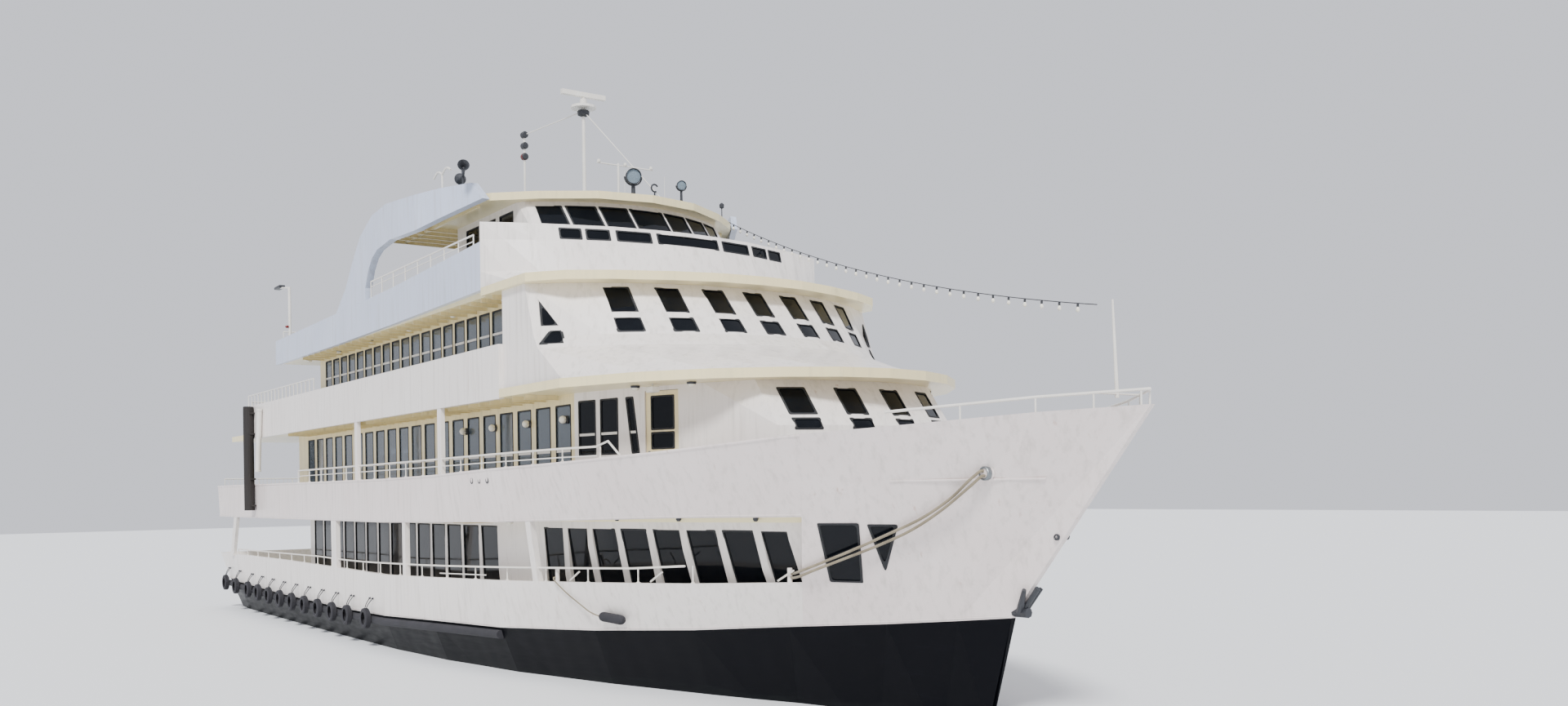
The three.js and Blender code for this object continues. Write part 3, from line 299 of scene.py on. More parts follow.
class Shape:
    """Closed shapes gathered into one piece."""

    def __init__(self):
        self.points, self.faces = [], []

    def add(self, points, faces):
        first = len(self.points)
        self.points += [Vector(p) for p in points]
        self.faces += [[first + i for i in face] for face in faces]

    def loft(self, rings, closed=False):
        """A skin through rings of equal count, capped unless it closes on itself."""
        count, rows = len(rings[0]), len(rings)
        faces = []
        for i in range(rows if closed else rows - 1):
            n = (i + 1) % rows
            for j in range(count):
                k = (j + 1) % count
                faces.append((i * count + j, i * count + k, n * count + k, n * count + j))
        if not closed:
            faces.append(range(count - 1, -1, -1))
            faces.append(range((rows - 1) * count, rows * count))
        self.add([p for ring in rings for p in ring], faces)

    def tube(self, path, radius, sides=8):
        self.loft([
            [p + (a * math.cos(t) + b * math.sin(t)) * radius for t in turns(sides)]
            for p, a, b in carried([Vector(p) for p in path])
        ])

    def turned(self, foot, axis, profile, sides=20):
        """A turned form: profile gives height along the axis and radius, and is closed."""
        foot, axis = Vector(foot), Vector(axis).normalized()
        across, beside_it = square_to(axis)
        self.loft([
            [foot + axis * h + (across * math.cos(t) + beside_it * math.sin(t)) * r
             for h, r in profile]
            for t in turns(sides)
        ], closed=True)

    def knob(self, foot, axis, profile, sides=16):
        """A turned form whose profile starts and ends on the axis."""
        foot, axis = Vector(foot), Vector(axis).normalized()
        across, beside_it = square_to(axis)
        self.loft([
            [foot + axis * h + (across * math.cos(t) + beside_it * math.sin(t)) * r
             for t in turns(sides)]
            for h, r in profile
        ])

    def block(self, low, high, ease=0.004):
        """A block with its long edges eased."""
        (x0, y0, z0), (x1, y1, z1) = low, high
        ease = min(ease, (x1 - x0) / 3, (y1 - y0) / 3, (z1 - z0) / 3)
        outline = [
            (y0 + ease, z0), (y1 - ease, z0), (y1, z0 + ease), (y1, z1 - ease),
            (y1 - ease, z1), (y0 + ease, z1), (y0, z1 - ease), (y0, z0 + ease),
        ]
        middle = Vector((0, (y0 + y1) / 2, (z0 + z1) / 2))
        rings = []
        for x, size in ((x0, 1), (x0 + ease, 0), (x1 - ease, 0), (x1, 1)):
            ring = []
            for y, z in outline:
                inward = Vector((0, y, z)) - middle
                step = size * ease * 0.7
                ring.append(Vector((x, 0, 0)) + middle + Vector((
                    0, inward.y - math.copysign(step, inward.y),
                    inward.z - math.copysign(step, inward.z),
                )))
            rings.append(ring)
        self.loft(rings)

    def slab(self, place, outline, near, far):
        """A sheet of the outline between two depths of a wall; place gives (u, v, depth)."""
        count = len(outline)
        u, v = (sum(p[k] for p in outline) / count for k in (0, 1))
        points = [place(a, b, d) for d in (near, far) for a, b in outline]
        points += [place(u, v, near), place(u, v, far)]
        faces = []
        for j in range(count):
            k = (j + 1) % count
            faces += [(j, k, 2 * count), (count + k, count + j, 2 * count + 1)]
            faces.append((j, count + j, count + k, k))
        self.add(points, faces)

    def piece(self, name, finish, body="ship", crease=35):
        """The shapes as one piece that rides on a body."""
        mesh = bpy.data.meshes.new(name)
        work = bmesh.new()
        corners = [work.verts.new(p) for p in self.points]
        for face in self.faces:
            work.faces.new([corners[i] for i in face])
        bmesh.ops.recalc_face_normals(work, faces=work.faces)
        work.to_mesh(mesh)
        work.free()
        mesh.shade_smooth()
        mesh.set_sharp_from_angle(angle=math.radians(crease))
        mesh.materials.append(finish)
        obj = bpy.data.objects.new(name, mesh)
        bpy.context.scene.collection.objects.link(obj)
        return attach(obj, body) or obj


# ---------------------------------------------------------------- finishes

# Wave scale that repeats every 600 mm, the spacing of the hull's frames.
FRAME_WAVE = 0.5236


def linear(code):
    """A linear colour from an sRGB hex value."""
    parts = [int(code[i:i + 2], 16) / 255 for i in (1, 3, 5)]
    return (*(c / 12.92 if c < 0.04045 else ((c + 0.055) / 1.055) ** 2.4 for c in parts), 1)


def add_node(tree, kind, inputs=None, **settings):
    """A shader node with its settings; each input is a value or the output it is linked to."""
    node = tree.nodes.new("ShaderNode" + kind)
    for name, value in settings.items():
        setattr(node, name, value)
    for name, value in (inputs or {}).items():
        if isinstance(value, bpy.types.NodeSocket):
            tree.links.new(value, node.inputs[name])
        else:
            node.inputs[name].default_value = value
    return node


def new_finish(name, sockets):
    """A material whose shader has these constants; returns it with its tree and shader."""
    material = bpy.data.materials.new(name)
    material.use_nodes = True
    tree = material.node_tree
    shader = tree.nodes["Principled BSDF"]
    for socket, value in sockets.items():
        shader.inputs[socket].default_value = value
    return material, tree, shader


def connect(tree, shader, links):
    for socket, output in links.items():
        tree.links.new(output, shader.inputs[socket])


def marine_gloss(name, base, aged, grime="#8d8676", decked=None, soffit=None, floor_below=99.0):
    """Two-pack polyurethane gloss sprayed on welded plate. The plate's waves between frames
    bend its reflections, and rain draws dirt and a few rust weeps down from its seams.
    decked and soffit recolour the faces that look up, below a height, and down; the soffit colour
    is painted warm light reflected under the decks."""
    material, tree, shader = new_finish(name, {
        "IOR": 1.5, "Coat Weight": 0.35, "Coat Roughness": 0.12, "Coat IOR": 1.5,
    })
    where = add_node(tree, "TexCoord").outputs["Object"]
    # Patches of chalking, one to two metres across.
    chalk = add_node(tree, "TexNoise", {"Vector": where, "Scale": 0.7, "Detail": 4.0})
    tone = add_node(tree, "Mix", {
        "Factor": chalk.outputs["Fac"], "A": linear(base), "B": linear(aged),
    }, data_type="RGBA")
    # Runs of dirt about 120 mm apart and over a metre long.
    falling = add_node(tree, "Mapping", {"Vector": where, "Scale": (8.0, 8.0, 0.55)})
    runs = add_node(tree, "TexNoise", {
        "Vector": falling.outputs["Vector"], "Scale": 1.0, "Detail": 5.0, "Roughness": 0.6,
    })
    run_mask = add_node(tree, "MapRange", {
        "Value": runs.outputs["Fac"], "From Min": 0.5, "From Max": 0.78, "To Max": 0.34,
    })
    dirty = add_node(tree, "Mix", {
        "Factor": run_mask.outputs["Result"], "A": tone.outputs["Result"], "B": linear(grime),
    }, data_type="RGBA")
    # Rust weeps, one every few metres and 30 to 60 mm wide.
    weeping = add_node(tree, "Mapping", {"Vector": where, "Scale": (5.0, 5.0, 0.35)})
    weeps = add_node(tree, "TexNoise", {
        "Vector": weeping.outputs["Vector"], "Scale": 1.3, "Detail": 3.0,
    })
    weep_mask = add_node(tree, "MapRange", {
        "Value": weeps.outputs["Fac"], "From Min": 0.7, "From Max": 0.8, "To Max": 0.5,
    })
    colour = add_node(tree, "Mix", {
        "Factor": weep_mask.outputs["Result"], "A": dirty.outputs["Result"],
        "B": linear("#a2683c"),
    }, data_type="RGBA")
    facing = add_node(tree, "SeparateXYZ", {
        "Vector": add_node(tree, "NewGeometry").outputs["Normal"],
    })
    if decked:
        height = add_node(tree, "SeparateXYZ", {"Vector": where})
        low = add_node(tree, "Math", {
            0: height.outputs["Z"], 1: floor_below,
        }, operation="LESS_THAN")
        up = add_node(tree, "MapRange", {
            "Value": facing.outputs["Z"], "From Min": 0.8, "From Max": 0.9,
        })
        floor = add_node(tree, "Math", {
            0: up.outputs["Result"], 1: low.outputs["Value"],
        }, operation="MULTIPLY")
        colour = add_node(tree, "Mix", {
            "Factor": floor.outputs["Value"], "A": colour.outputs["Result"],
            "B": linear(decked),
        }, data_type="RGBA")
    # Painted light: faces that look down, and in part those that look sideways, take a cream tint
    # for warm sunlight reflected up under the decks.
    if soffit:
        side_or_down = add_node(tree, "MapRange", {
            "Value": facing.outputs["Z"], "From Min": 0.3, "From Max": -0.3,
        })
        colour = add_node(tree, "Mix", {
            "Factor": side_or_down.outputs["Result"], "A": colour.outputs["Result"],
            "B": linear(soffit),
        }, data_type="RGBA")
    # Plate waves: frames stand 600 mm apart and the plate hollows 3 mm between them.
    frames = add_node(tree, "TexWave", {
        "Vector": where, "Scale": FRAME_WAVE, "Distortion": 1.2, "Detail": 1.0,
        "Detail Scale": 1.5,
    }, bands_direction="X", wave_profile="SIN")
    waves = add_node(tree, "Bump", {
        "Height": frames.outputs["Fac"], "Strength": 0.35, "Distance": 0.003,
    })
    # Orange peel is 3 mm across on the real paint; it is drawn at 25 mm so that it shows.
    peel = add_node(tree, "TexNoise", {"Vector": where, "Scale": 40.0, "Detail": 2.0})
    skin = add_node(tree, "Bump", {
        "Height": peel.outputs["Fac"], "Strength": 0.12, "Distance": 0.001,
        "Normal": waves.outputs["Normal"],
    })
    rough = add_node(tree, "MapRange", {
        "Value": chalk.outputs["Fac"], "To Min": 0.3, "To Max": 0.5,
    })
    connect(tree, shader, {
        "Base Color": colour.outputs["Result"], "Roughness": rough.outputs["Result"],
        "Normal": skin.outputs["Normal"],
    })
    return material


def topside_black():
    """Matt black enamel rolled on the lower hull, which swallows most reflections. Salt dries
    to a faint bloom just over the water, fenders scuff it, and the faces that look up are the
    main deck's grey grip paint."""
    material, tree, shader = new_finish("topside_black_enamel", {
        "IOR": 1.5, "Specular IOR Level": 0.08,
    })
    where = add_node(tree, "TexCoord").outputs["Object"]
    height = add_node(tree, "SeparateXYZ", {"Vector": where})
    drawn = add_node(tree, "Mapping", {"Vector": where, "Scale": (0.8, 0.8, 6.0)})
    scuffs = add_node(tree, "TexNoise", {
        "Vector": drawn.outputs["Vector"], "Scale": 1.5, "Detail": 6.0, "Roughness": 0.65,
    })
    scuff_mask = add_node(tree, "MapRange", {
        "Value": scuffs.outputs["Fac"], "From Min": 0.55, "From Max": 0.85, "To Max": 0.35,
    })
    worn = add_node(tree, "Mix", {
        "Factor": scuff_mask.outputs["Result"], "A": linear("#07080d"), "B": linear("#15161d"),
    }, data_type="RGBA")
    # The bloom reaches about 150 mm over the waterline.
    edge = add_node(tree, "Math", {
        0: height.outputs["Z"], 1: scuffs.outputs["Fac"],
    }, operation="SUBTRACT")
    bloom = add_node(tree, "MapRange", {
        "Value": edge.outputs["Value"], "From Min": -0.3, "From Max": -0.5, "To Max": 0.25,
    })
    salted = add_node(tree, "Mix", {
        "Factor": bloom.outputs["Result"], "A": worn.outputs["Result"], "B": linear("#1e2221"),
    }, data_type="RGBA")
    facing = add_node(tree, "SeparateXYZ", {
        "Vector": add_node(tree, "NewGeometry").outputs["Normal"],
    })
    up = add_node(tree, "MapRange", {
        "Value": facing.outputs["Z"], "From Min": 0.8, "From Max": 0.9,
    })
    colour = add_node(tree, "Mix", {
        "Factor": up.outputs["Result"], "A": salted.outputs["Result"], "B": linear("#8f9290"),
    }, data_type="RGBA")
    frames = add_node(tree, "TexWave", {
        "Vector": where, "Scale": FRAME_WAVE, "Distortion": 1.5, "Detail": 1.0,
    }, bands_direction="X")
    waves = add_node(tree, "Bump", {
        "Height": frames.outputs["Fac"], "Strength": 0.5, "Distance": 0.004,
    })
    skin = add_node(tree, "Bump", {
        "Height": scuffs.outputs["Fac"], "Strength": 0.15, "Distance": 0.002,
        "Normal": waves.outputs["Normal"],
    })
    rough = add_node(tree, "MapRange", {
        "Value": scuffs.outputs["Fac"], "To Min": 0.25, "To Max": 0.6,
    })
    connect(tree, shader, {
        "Base Color": colour.outputs["Result"], "Roughness": rough.outputs["Result"],
        "Normal": skin.outputs["Normal"],
    })
    return material


def weathered(name, base, worn, sockets, grain=60.0, depth=0.0008, rough=(0.5, 0.8)):
    """A small-scale weathered skin: two tones over a grain of the given pitch per metre."""
    material, tree, shader = new_finish(name, sockets)
    where = add_node(tree, "TexCoord").outputs["Object"]
    patches = add_node(tree, "TexNoise", {"Vector": where, "Scale": 3.0, "Detail": 5.0})
    colour = add_node(tree, "Mix", {
        "Factor": patches.outputs["Fac"], "A": linear(base), "B": linear(worn),
    }, data_type="RGBA")
    grains = add_node(tree, "TexNoise", {"Vector": where, "Scale": grain, "Detail": 3.0})
    skin = add_node(tree, "Bump", {
        "Height": grains.outputs["Fac"], "Strength": 0.5, "Distance": depth,
    })
    sheen = add_node(tree, "MapRange", {
        "Value": patches.outputs["Fac"], "To Min": rough[0], "To Max": rough[1],
    })
    connect(tree, shader, {
        "Base Color": colour.outputs["Result"], "Roughness": sheen.outputs["Result"],
        "Normal": skin.outputs["Normal"],
    })
    return material


def float_glass(name, tint_and_shade, salt, see_through, gloss=0.4):
    """Tinted float glass, flat and hard, with dried salt spots that soften its reflections.
    A dark pane in shade mirrors little, so gloss turns its mirroring down; a near-black, nearly
    opaque tint paints the shade of the cabin behind."""
    material, tree, shader = new_finish(name, {
        "IOR": 1.52, "Specular IOR Level": gloss, "Transmission Weight": see_through,
    })
    where = add_node(tree, "TexCoord").outputs["Object"]
    # Salt spots are 5 to 10 mm across, gathered in drifts of half a metre.
    drifts = add_node(tree, "TexNoise", {"Vector": where, "Scale": 2.2, "Detail": 4.0})
    spots = add_node(tree, "TexNoise", {"Vector": where, "Scale": 90.0, "Detail": 2.0})
    spotted = add_node(tree, "Math", {
        0: drifts.outputs["Fac"], 1: spots.outputs["Fac"],
    }, operation="MULTIPLY")
    mask = add_node(tree, "MapRange", {
        "Value": spotted.outputs["Value"], "From Min": 0.3, "From Max": 0.5, "To Max": 0.2,
    })
    colour = add_node(tree, "Mix", {
        "Factor": mask.outputs["Result"], "A": linear(tint_and_shade), "B": linear(salt),
    }, data_type="RGBA")
    rough = add_node(tree, "MapRange", {
        "Value": spotted.outputs["Value"], "From Min": 0.15, "From Max": 0.5,
        "To Min": 0.03, "To Max": 0.22,
    })
    connect(tree, shader, {
        "Base Color": colour.outputs["Result"], "Roughness": rough.outputs["Result"],
    })
    return material


def laid_fibre():
    """Laid polyester rope, gone brown with salt and tar; its yarns run round each strand."""
    material, tree, shader = new_finish("laid_polyester_rope", {
        "IOR": 1.5, "Sheen Weight": 0.25, "Roughness": 0.9,
    })
    where = add_node(tree, "TexCoord").outputs["Object"]
    stain = add_node(tree, "TexNoise", {"Vector": where, "Scale": 4.0, "Detail": 5.0})
    colour = add_node(tree, "Mix", {
        "Factor": stain.outputs["Fac"], "A": linear("#5b4f3c"), "B": linear("#a3987f"),
    }, data_type="RGBA")
    # Yarns are 3 mm thick.
    yarns = add_node(tree, "TexNoise", {"Vector": where, "Scale": 330.0, "Detail": 2.0})
    skin = add_node(tree, "Bump", {
        "Height": yarns.outputs["Fac"], "Strength": 0.6, "Distance": 0.001,
    })
    connect(tree, shader, {
        "Base Color": colour.outputs["Result"], "Normal": skin.outputs["Normal"],
    })
    return material


# The gloss whites and tints hold soft sky reflections under thin grey runs and rust weeps.
WHITE = marine_gloss("white_polyurethane_gloss", "#f4efe9", "#e9e0da")
HULL_WHITE = marine_gloss(
    "hull_white_gloss_with_grip_foredeck", "#f0e6e2", "#e4d6d1", decked="#9b9d9a",
    floor_below=4.2,
)
# Painted light: the cream tone on the upper houses' walls, the doors and the deck beams is painted
# warm sunlight and its reflection, laid over gloss white.
CREAM_PAINTED_SUNLIGHT = marine_gloss("gloss_with_cream_tint_painted_as_sunlight", "#f5e7b8", "#e8d6a0")
PALE_BLUE = marine_gloss("pale_blue_polyurethane_gloss", "#ccd4e6", "#b9c3d8")
# Grip paint is matt and grey underfoot; the plate's edges and the ceiling under it carry a cream
# tint painted for warm sunlight and its reflection.
DECK_PLATE = marine_gloss(
    "deck_plate_grip_paint_over_soffit_with_painted_warm_light", "#f4e5b6", "#e8d6a0", decked="#9a9d9b",
    soffit="#f3e6b4",
)
BLACK_HULL = topside_black()
# Enamel brushed on tube keeps a bright line along it, broken where hands and salt dull it.
RAIL_WHITE = weathered(
    "white_enamelled_steel_tube", "#efece6", "#d8d2c6", {"IOR": 1.5, "Coat Weight": 0.3},
    grain=120, depth=0.0004, rough=(0.3, 0.5),
)
# Dark enamel on small castings shows a weak, broken highlight.
DARK_ENAMEL = weathered(
    "dark_enamelled_steel", "#202228", "#3a3c40", {"IOR": 1.5}, grain=150, depth=0.0004,
    rough=(0.35, 0.6),
)
# Funnel paint over hot steel goes matt, and rust shows through it.
SOOT = weathered("sooted_heat_paint", "#191817", "#2b2523", {"IOR": 1.5}, rough=(0.7, 0.9))
# Hot-dip zinc is a mottled, half-dull grey metal.
GALVANISED = weathered(
    "galvanised_steel", "#9aa0a3", "#6d7376", {"Metallic": 0.9}, grain=25, depth=0.0006,
    rough=(0.4, 0.6),
)
# Cast bronze stays rough in its hollows and is rubbed brighter by the water.
BRONZE = weathered(
    "cast_manganese_bronze", "#a5803f", "#7d6a3a", {"Metallic": 1.0}, grain=45, depth=0.001,
    rough=(0.3, 0.5),
)
# Tyre rubber bleaches grey where the quay rubs it.
TYRE_RUBBER = weathered(
    "worn_tyre_rubber", "#17171a", "#35343a", {"IOR": 1.52}, grain=200, depth=0.001,
    rough=(0.75, 0.95),
)
# Extruded rubber is near black and dull, so each pane stands in a soft dark frame.
SEAL = weathered(
    "epdm_window_seal", "#121316", "#26282b", {"IOR": 1.5}, grain=400, depth=0.0002,
    rough=(0.6, 0.8),
)
# Rigid PVC slats, hung upright behind the lower glass.
SLAT = weathered(
    "pvc_blind_slat", "#dcdcd6", "#c9c8c0", {"IOR": 1.53}, grain=60, depth=0.0004,
    rough=(0.4, 0.6),
)
# Opal glass scatters light inside itself, so the globe looks soft and milky.
OPAL = weathered(
    "opal_lamp_glass", "#f6f3e8", "#ece6d3", {"IOR": 1.5, "Subsurface Weight": 0.3,
                                              "Subsurface Radius": (0.02, 0.02, 0.02)},
    grain=80, depth=0.0002, rough=(0.12, 0.25),
)
# Moulded acrylic passes some light and glints at its rim.
RED_LENS = weathered(
    "red_acrylic_lens", "#8e1f1c", "#6d1414", {"IOR": 1.49, "Transmission Weight": 0.3},
    grain=80, depth=0.0002, rough=(0.15, 0.3),
)
# The tinted panes are near black and nearly opaque, painted shade of the unlit cabins behind them;
# the pilothouse's and lounge's let the inside through.
GLASS_WITH_PAINTED_CABIN_SHADE = float_glass("tinted_glass_with_painted_cabin_shade", "#090d13", "#343b42", 0.1, gloss=0.12)
LIGHT_GLASS = float_glass("light_tinted_float_glass", "#7f8d99", "#9aa4aa", 0.75)
BLUE_GLASS = float_glass("clear_float_glass", "#9fb2bf", "#c9d2d6", 0.55)
ROPE = laid_fibre()

# The CAD's own solids by the start of their names, with the finish each carries.
NODE_FINISHES = [
    ("hull_lower", BLACK_HULL), ("rudder", BLACK_HULL), ("propeller", BRONZE),
    ("bulwark", WHITE), ("side_upper", HULL_WHITE), ("bow_rail", RAIL_WHITE),
    ("bow", HULL_WHITE), ("post", WHITE), ("house_main", WHITE), ("house", CREAM_PAINTED_SUNLIGHT),
    ("front", WHITE), ("door", CREAM_PAINTED_SUNLIGHT), ("panel_bridge", PALE_BLUE), ("panel", WHITE),
    ("deck", DECK_PLATE), ("roof", DECK_PLATE), ("arch", PALE_BLUE), ("pilothouse", WHITE),
    ("mast", RAIL_WHITE), ("radar", RAIL_WHITE), ("anchor", DARK_ENAMEL), ("exhaust", SOOT),
]


def paint_nodes():
    """Each CAD solid gets its finish."""
    for name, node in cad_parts.items():
        finish = next((f for start, f in NODE_FINISHES if name.startswith(start)), None)
        if finish is None:
            continue
        if not node.material_slots:
            node.data.materials.append(finish)
        for slot in node.material_slots:
            slot.link = "OBJECT"
            slot.material = finish


paint_nodes()


# ---------------------------------------------------------------- ropes

# The cleat that holds the lines, the fairlead they come from, and the ropes' own sizes.
CLEAT = {"lines": 9.0, "fender": 6.68, "radius": 0.045}
SEAT = 0.0004
FAIRLEAD = {"s": 10.78, "z": 4.2, "out": 0.06}
LINE_DIAMETER = 0.048
FENDER_ROPE_DIAMETER = 0.028
FENDER = {"radius": 0.1, "off": 0.045, "aft": (7.16, 1.5), "forward": (7.4, 1.44)}

# Each mooring line: its offset on the fairlead, height at the cleat, length, and route as
# station, height and stand-off.
MOORING_LINES = [
    ("a", (-0.02, 0.038), 2.5, 4.65, [
        (10.72, 4.11, 0.18), (10.56, 3.82, 0.13), (10.3, 3.5, 0.11), (9.98, 3.24, 0.11),
        (9.64, 2.93, 0.11), (9.34, 2.69, 0.1), (9.16, 2.56, 0.06),
    ]),
    ("b", (0.015, -0.038), 2.425, 4.65, [
        (10.74, 3.99, 0.2), (10.5, 3.62, 0.15), (10.22, 3.3, 0.13), (9.9, 3.04, 0.12),
        (9.56, 2.77, 0.12), (9.3, 2.57, 0.11), (9.16, 2.47, 0.06),
    ]),
]
FENDER_ROUTE = [
    (6.7, 2.19, 0.05), (6.76, 2.05, 0.06), (6.84, 1.88, 0.06), (6.95, 1.7, 0.08),
    (7.05, 1.57, 0.125),
]


def cleat_foot(s):
    return on_side(s, between(BULWARK_TOP, s), -0.06)


# In diameters of the rope: distance between two rings, and one turn of the strands.
RING_PITCH, LAY = 0.3, 3.3
ROPE_SIDES = 15


def laid_rope(name, route, diameter):
    """A three-strand rope along the route."""
    line = smooth([Vector(p) for p in route])
    run = length_of(line)
    path = spaced(line, int(run / (diameter * RING_PITCH)))
    rings = []
    for i, (point, across, over) in enumerate(carried(path)):
        turn = 2 * math.pi * run * i / (len(path) - 1) / (LAY * diameter)
        ring = []
        for angle in turns(ROPE_SIDES):
            swell = 0.9 + 0.15 * abs(math.cos(1.5 * (angle - turn)))
            ring.append(
                point + (across * math.cos(angle) + over * math.sin(angle)) * diameter / 2 * swell
            )
        rings.append(ring)
    shape = Shape()
    shape.loft(rings)
    rope = shape.piece(name, ROPE, crease=80)
    return rope


def mooring_lines():
    """Two lines from the fairlead down to the cleat, side by side."""
    exit_at = on_side(FAIRLEAD["s"], FAIRLEAD["z"], FAIRLEAD["out"])
    cleat = cleat_foot(CLEAT["lines"])
    for letter, (dx, dz), height, length, route in MOORING_LINES:
        start = [exit_at + Vector((dx, -SEAT - off, dz)) for off in (0, 0.05)]
        end = [
            Vector((cleat.x + CLEAT["radius"] + SEAT + off, cleat.y, height))
            for off in (0.06, 0)
        ]
        middle = [on_side(s, z, out) for s, z, out in route]
        rope = laid_rope("laid_mooring_line_" + letter, [*start, *middle, *end],
                         LINE_DIAMETER)
        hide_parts("mooring_line_" + letter)


def hung_fender():
    """A black rubber roll fender with domed ends and an eye, on its lanyard."""
    aft, forward = (
        on_side(s, z, FENDER["radius"] + FENDER["off"])
        for s, z in (FENDER["aft"], FENDER["forward"])
    )
    away = (aft - forward).normalized()
    long = (forward - aft).length
    r = FENDER["radius"]
    roll = Shape()
    profile = [(0.0, 0.035), (0.012, 0.06), (0.05, 0.088), (0.1, r * 0.99)]
    ribs = [(0.1 + k * 0.05, r if k % 2 else r * 0.965) for k in range(1, 8)]
    ends = [(long - h, radius) for h, radius in profile[::-1]]
    ribs = [rib for rib in ribs if rib[0] < long - 0.11]
    roll.knob(aft, -away, [*profile, *ribs, *ends], 24)
    body = roll.piece("roll_fender", TYRE_RUBBER, crease=50)
    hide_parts("fender")
    cleat = cleat_foot(CLEAT["fender"])
    start = [
        Vector((cleat.x, cleat.y - CLEAT["radius"] - SEAT - off, 2.24)) for off in (0, 0.04)
    ]
    end = [aft + away * off for off in (0.06, SEAT)]
    middle = [on_side(s, z, out) for s, z, out in FENDER_ROUTE]
    lanyard = laid_rope("fender_lanyard", [*start, *middle, *end], FENDER_ROPE_DIAMETER)
    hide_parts("fender_rope")


mooring_lines()
hung_fender()


# ---------------------------------------------------------------- windows

def offset_outline(outline, grow):
    """A convex outline, anticlockwise, moved outwards by grow."""
    moved = []
    for i, point in enumerate(outline):
        before, after = outline[i - 1], outline[(i + 1) % len(outline)]
        edges = []
        for a, b in ((before, point), (point, after)):
            dx, dy = b[0] - a[0], b[1] - a[1]
            size = math.hypot(dx, dy)
            edges.append((dy / size, -dx / size))
        (ax, ay), (bx, by) = edges
        scale = grow / (1 + ax * bx + ay * by)
        moved.append((point[0] + (ax + bx) * scale, point[1] + (ay + by) * scale))
    return moved


def rounded(outline, radius, steps=4):
    """The outline with its corners rounded, each drawn with the same count of points."""
    points = []
    for i, point in enumerate(outline):
        before, after = Vector(outline[i - 1]), Vector(outline[(i + 1) % len(outline)])
        corner = Vector(point)
        back, ahead = (before - corner).normalized(), (after - corner).normalized()
        half = math.acos(max(-1, min(1, back.dot(ahead)))) / 2
        reach = min(radius / math.tan(half), (before - corner).length * 0.45,
                    (after - corner).length * 0.45)
        start, end = corner + back * reach, corner + ahead * reach
        for k in range(steps):
            t = k / (steps - 1)
            points.append(tuple(start.lerp(corner, t).lerp(corner.lerp(end, t), t)))
    return points


def anticlockwise(outline):
    area = sum(
        a[0] * b[1] - b[0] * a[1] for a, b in zip(outline, [*outline[1:], outline[0]])
    )
    return outline if area > 0 else outline[::-1]


def glaze(glass, seals, outline, place, radius=0.05):
    """A pane in its hole: a seal with a lip over the wall's edge, and the glass set 15 mm in."""
    hole = anticlockwise(outline)
    lip, throat, sight = (
        rounded(offset_outline(hole, grow), size)
        for grow, size in ((0.014, 0.03), (-0.002, 0.012), (-0.02, radius))
    )
    sections = [(lip, 0.0), (lip, -0.005), (sight, -0.008), (sight, 0.03), (throat, 0.04),
                (throat, 0.0)]
    seals.loft([
        [place(*outline[j], depth) for outline, depth in sections] for j in range(len(lip))
    ], closed=True)
    glass.slab(place, rounded(offset_outline(hole, -0.012), radius), 0.015, 0.023)


def box_outline(u0, u1, v0, v1):
    return [(u0, v0), (u1, v0), (u1, v1), (u0, v1)]


def leaning(m, width, lean, foot, head):
    """A side pane: aft edge at its head, width, and how far its foot stands forward."""
    return [(m + lean, foot), (m + lean + width, foot), (m + width, head), (m, head)]


def front_face(rows, levels):
    return lambda y, z, depth: Vector((front_x(rows, levels, y, z) - depth, y, z))


def flat_face(half, sign):
    return lambda m, z, depth: spot(m, sign * (half - depth), z)


def cheek_face(rows, sign):
    return lambda m, z, depth: spot(m, sign * (front_half(rows, m) - depth), z)


def main_face(sign):
    return lambda m, z, depth: spot(m, sign * (main_wall_half(m, z) - depth), z)


def hull_face(sign):
    return lambda m, z, depth: beside(m, z, -depth, sign)


PANE_HALF = 0.23
UPPER_PANES = [
    box_outline(y - PANE_HALF, y + PANE_HALF, z0, z1)
    for y in (-1.575, -0.525, 0.525, 1.575) for z0, z1 in ((5.36, 5.86), (5.08, 5.28))
]
SALOON_PANES = [
    box_outline(-2.88 + 0.96 * i - PANE_HALF, -2.88 + 0.96 * i + PANE_HALF, z0, z1)
    for i in range(7) for z0, z1 in ((7.62, 8.17), (7.2, 7.5))
]
PILOT_PANES = [
    box_outline(*sorted((side * y0, side * y1)), 9.95, 10.74)
    for side, panes in ((1, [(-0.44, 0.44), (0.51, 1.16), (1.24, 1.88), (1.96, 2.48)]),
                        (-1, [(0.51, 1.16), (1.24, 1.88), (1.96, 2.48)]))
    for y0, y1 in panes
]
BRIDGE_SLOTS = [
    box_outline(*sorted((side * y0, side * y1)), 9.55, 9.79)
    for side, slots in (
        (1, [(-0.8, 0.8), (0.95, 1.75), (1.9, 2.4), (2.5, 2.95)]),
        (-1, [(0.95, 1.75), (1.9, 2.4), (2.5, 2.95)]),
    ) for y0, y1 in slots
]
CORNER_PANES = [
    leaning(28.44, 0.52, 0, 4.75, 5.84), leaning(29.12, 0.52, 0, 4.75, 5.84),
    leaning(29.86, 0.17, 0.14, 4.75, 5.84),
]
QUARTER_PANES = [
    [(28.0, 7.95), (28.46, 7.36), (28.2, 7.36)],
    [(28.36, 7.26), (28.52, 7.26), (28.7, 6.98), (28.32, 6.98)],
]
BOW_PORTS = [
    [(34.62, 3.4), (35.32, 3.4), (34.89, 2.38), (34.32, 2.38)],
    [(35.48, 3.38), (35.97, 3.38), (35.4, 2.6)],
]
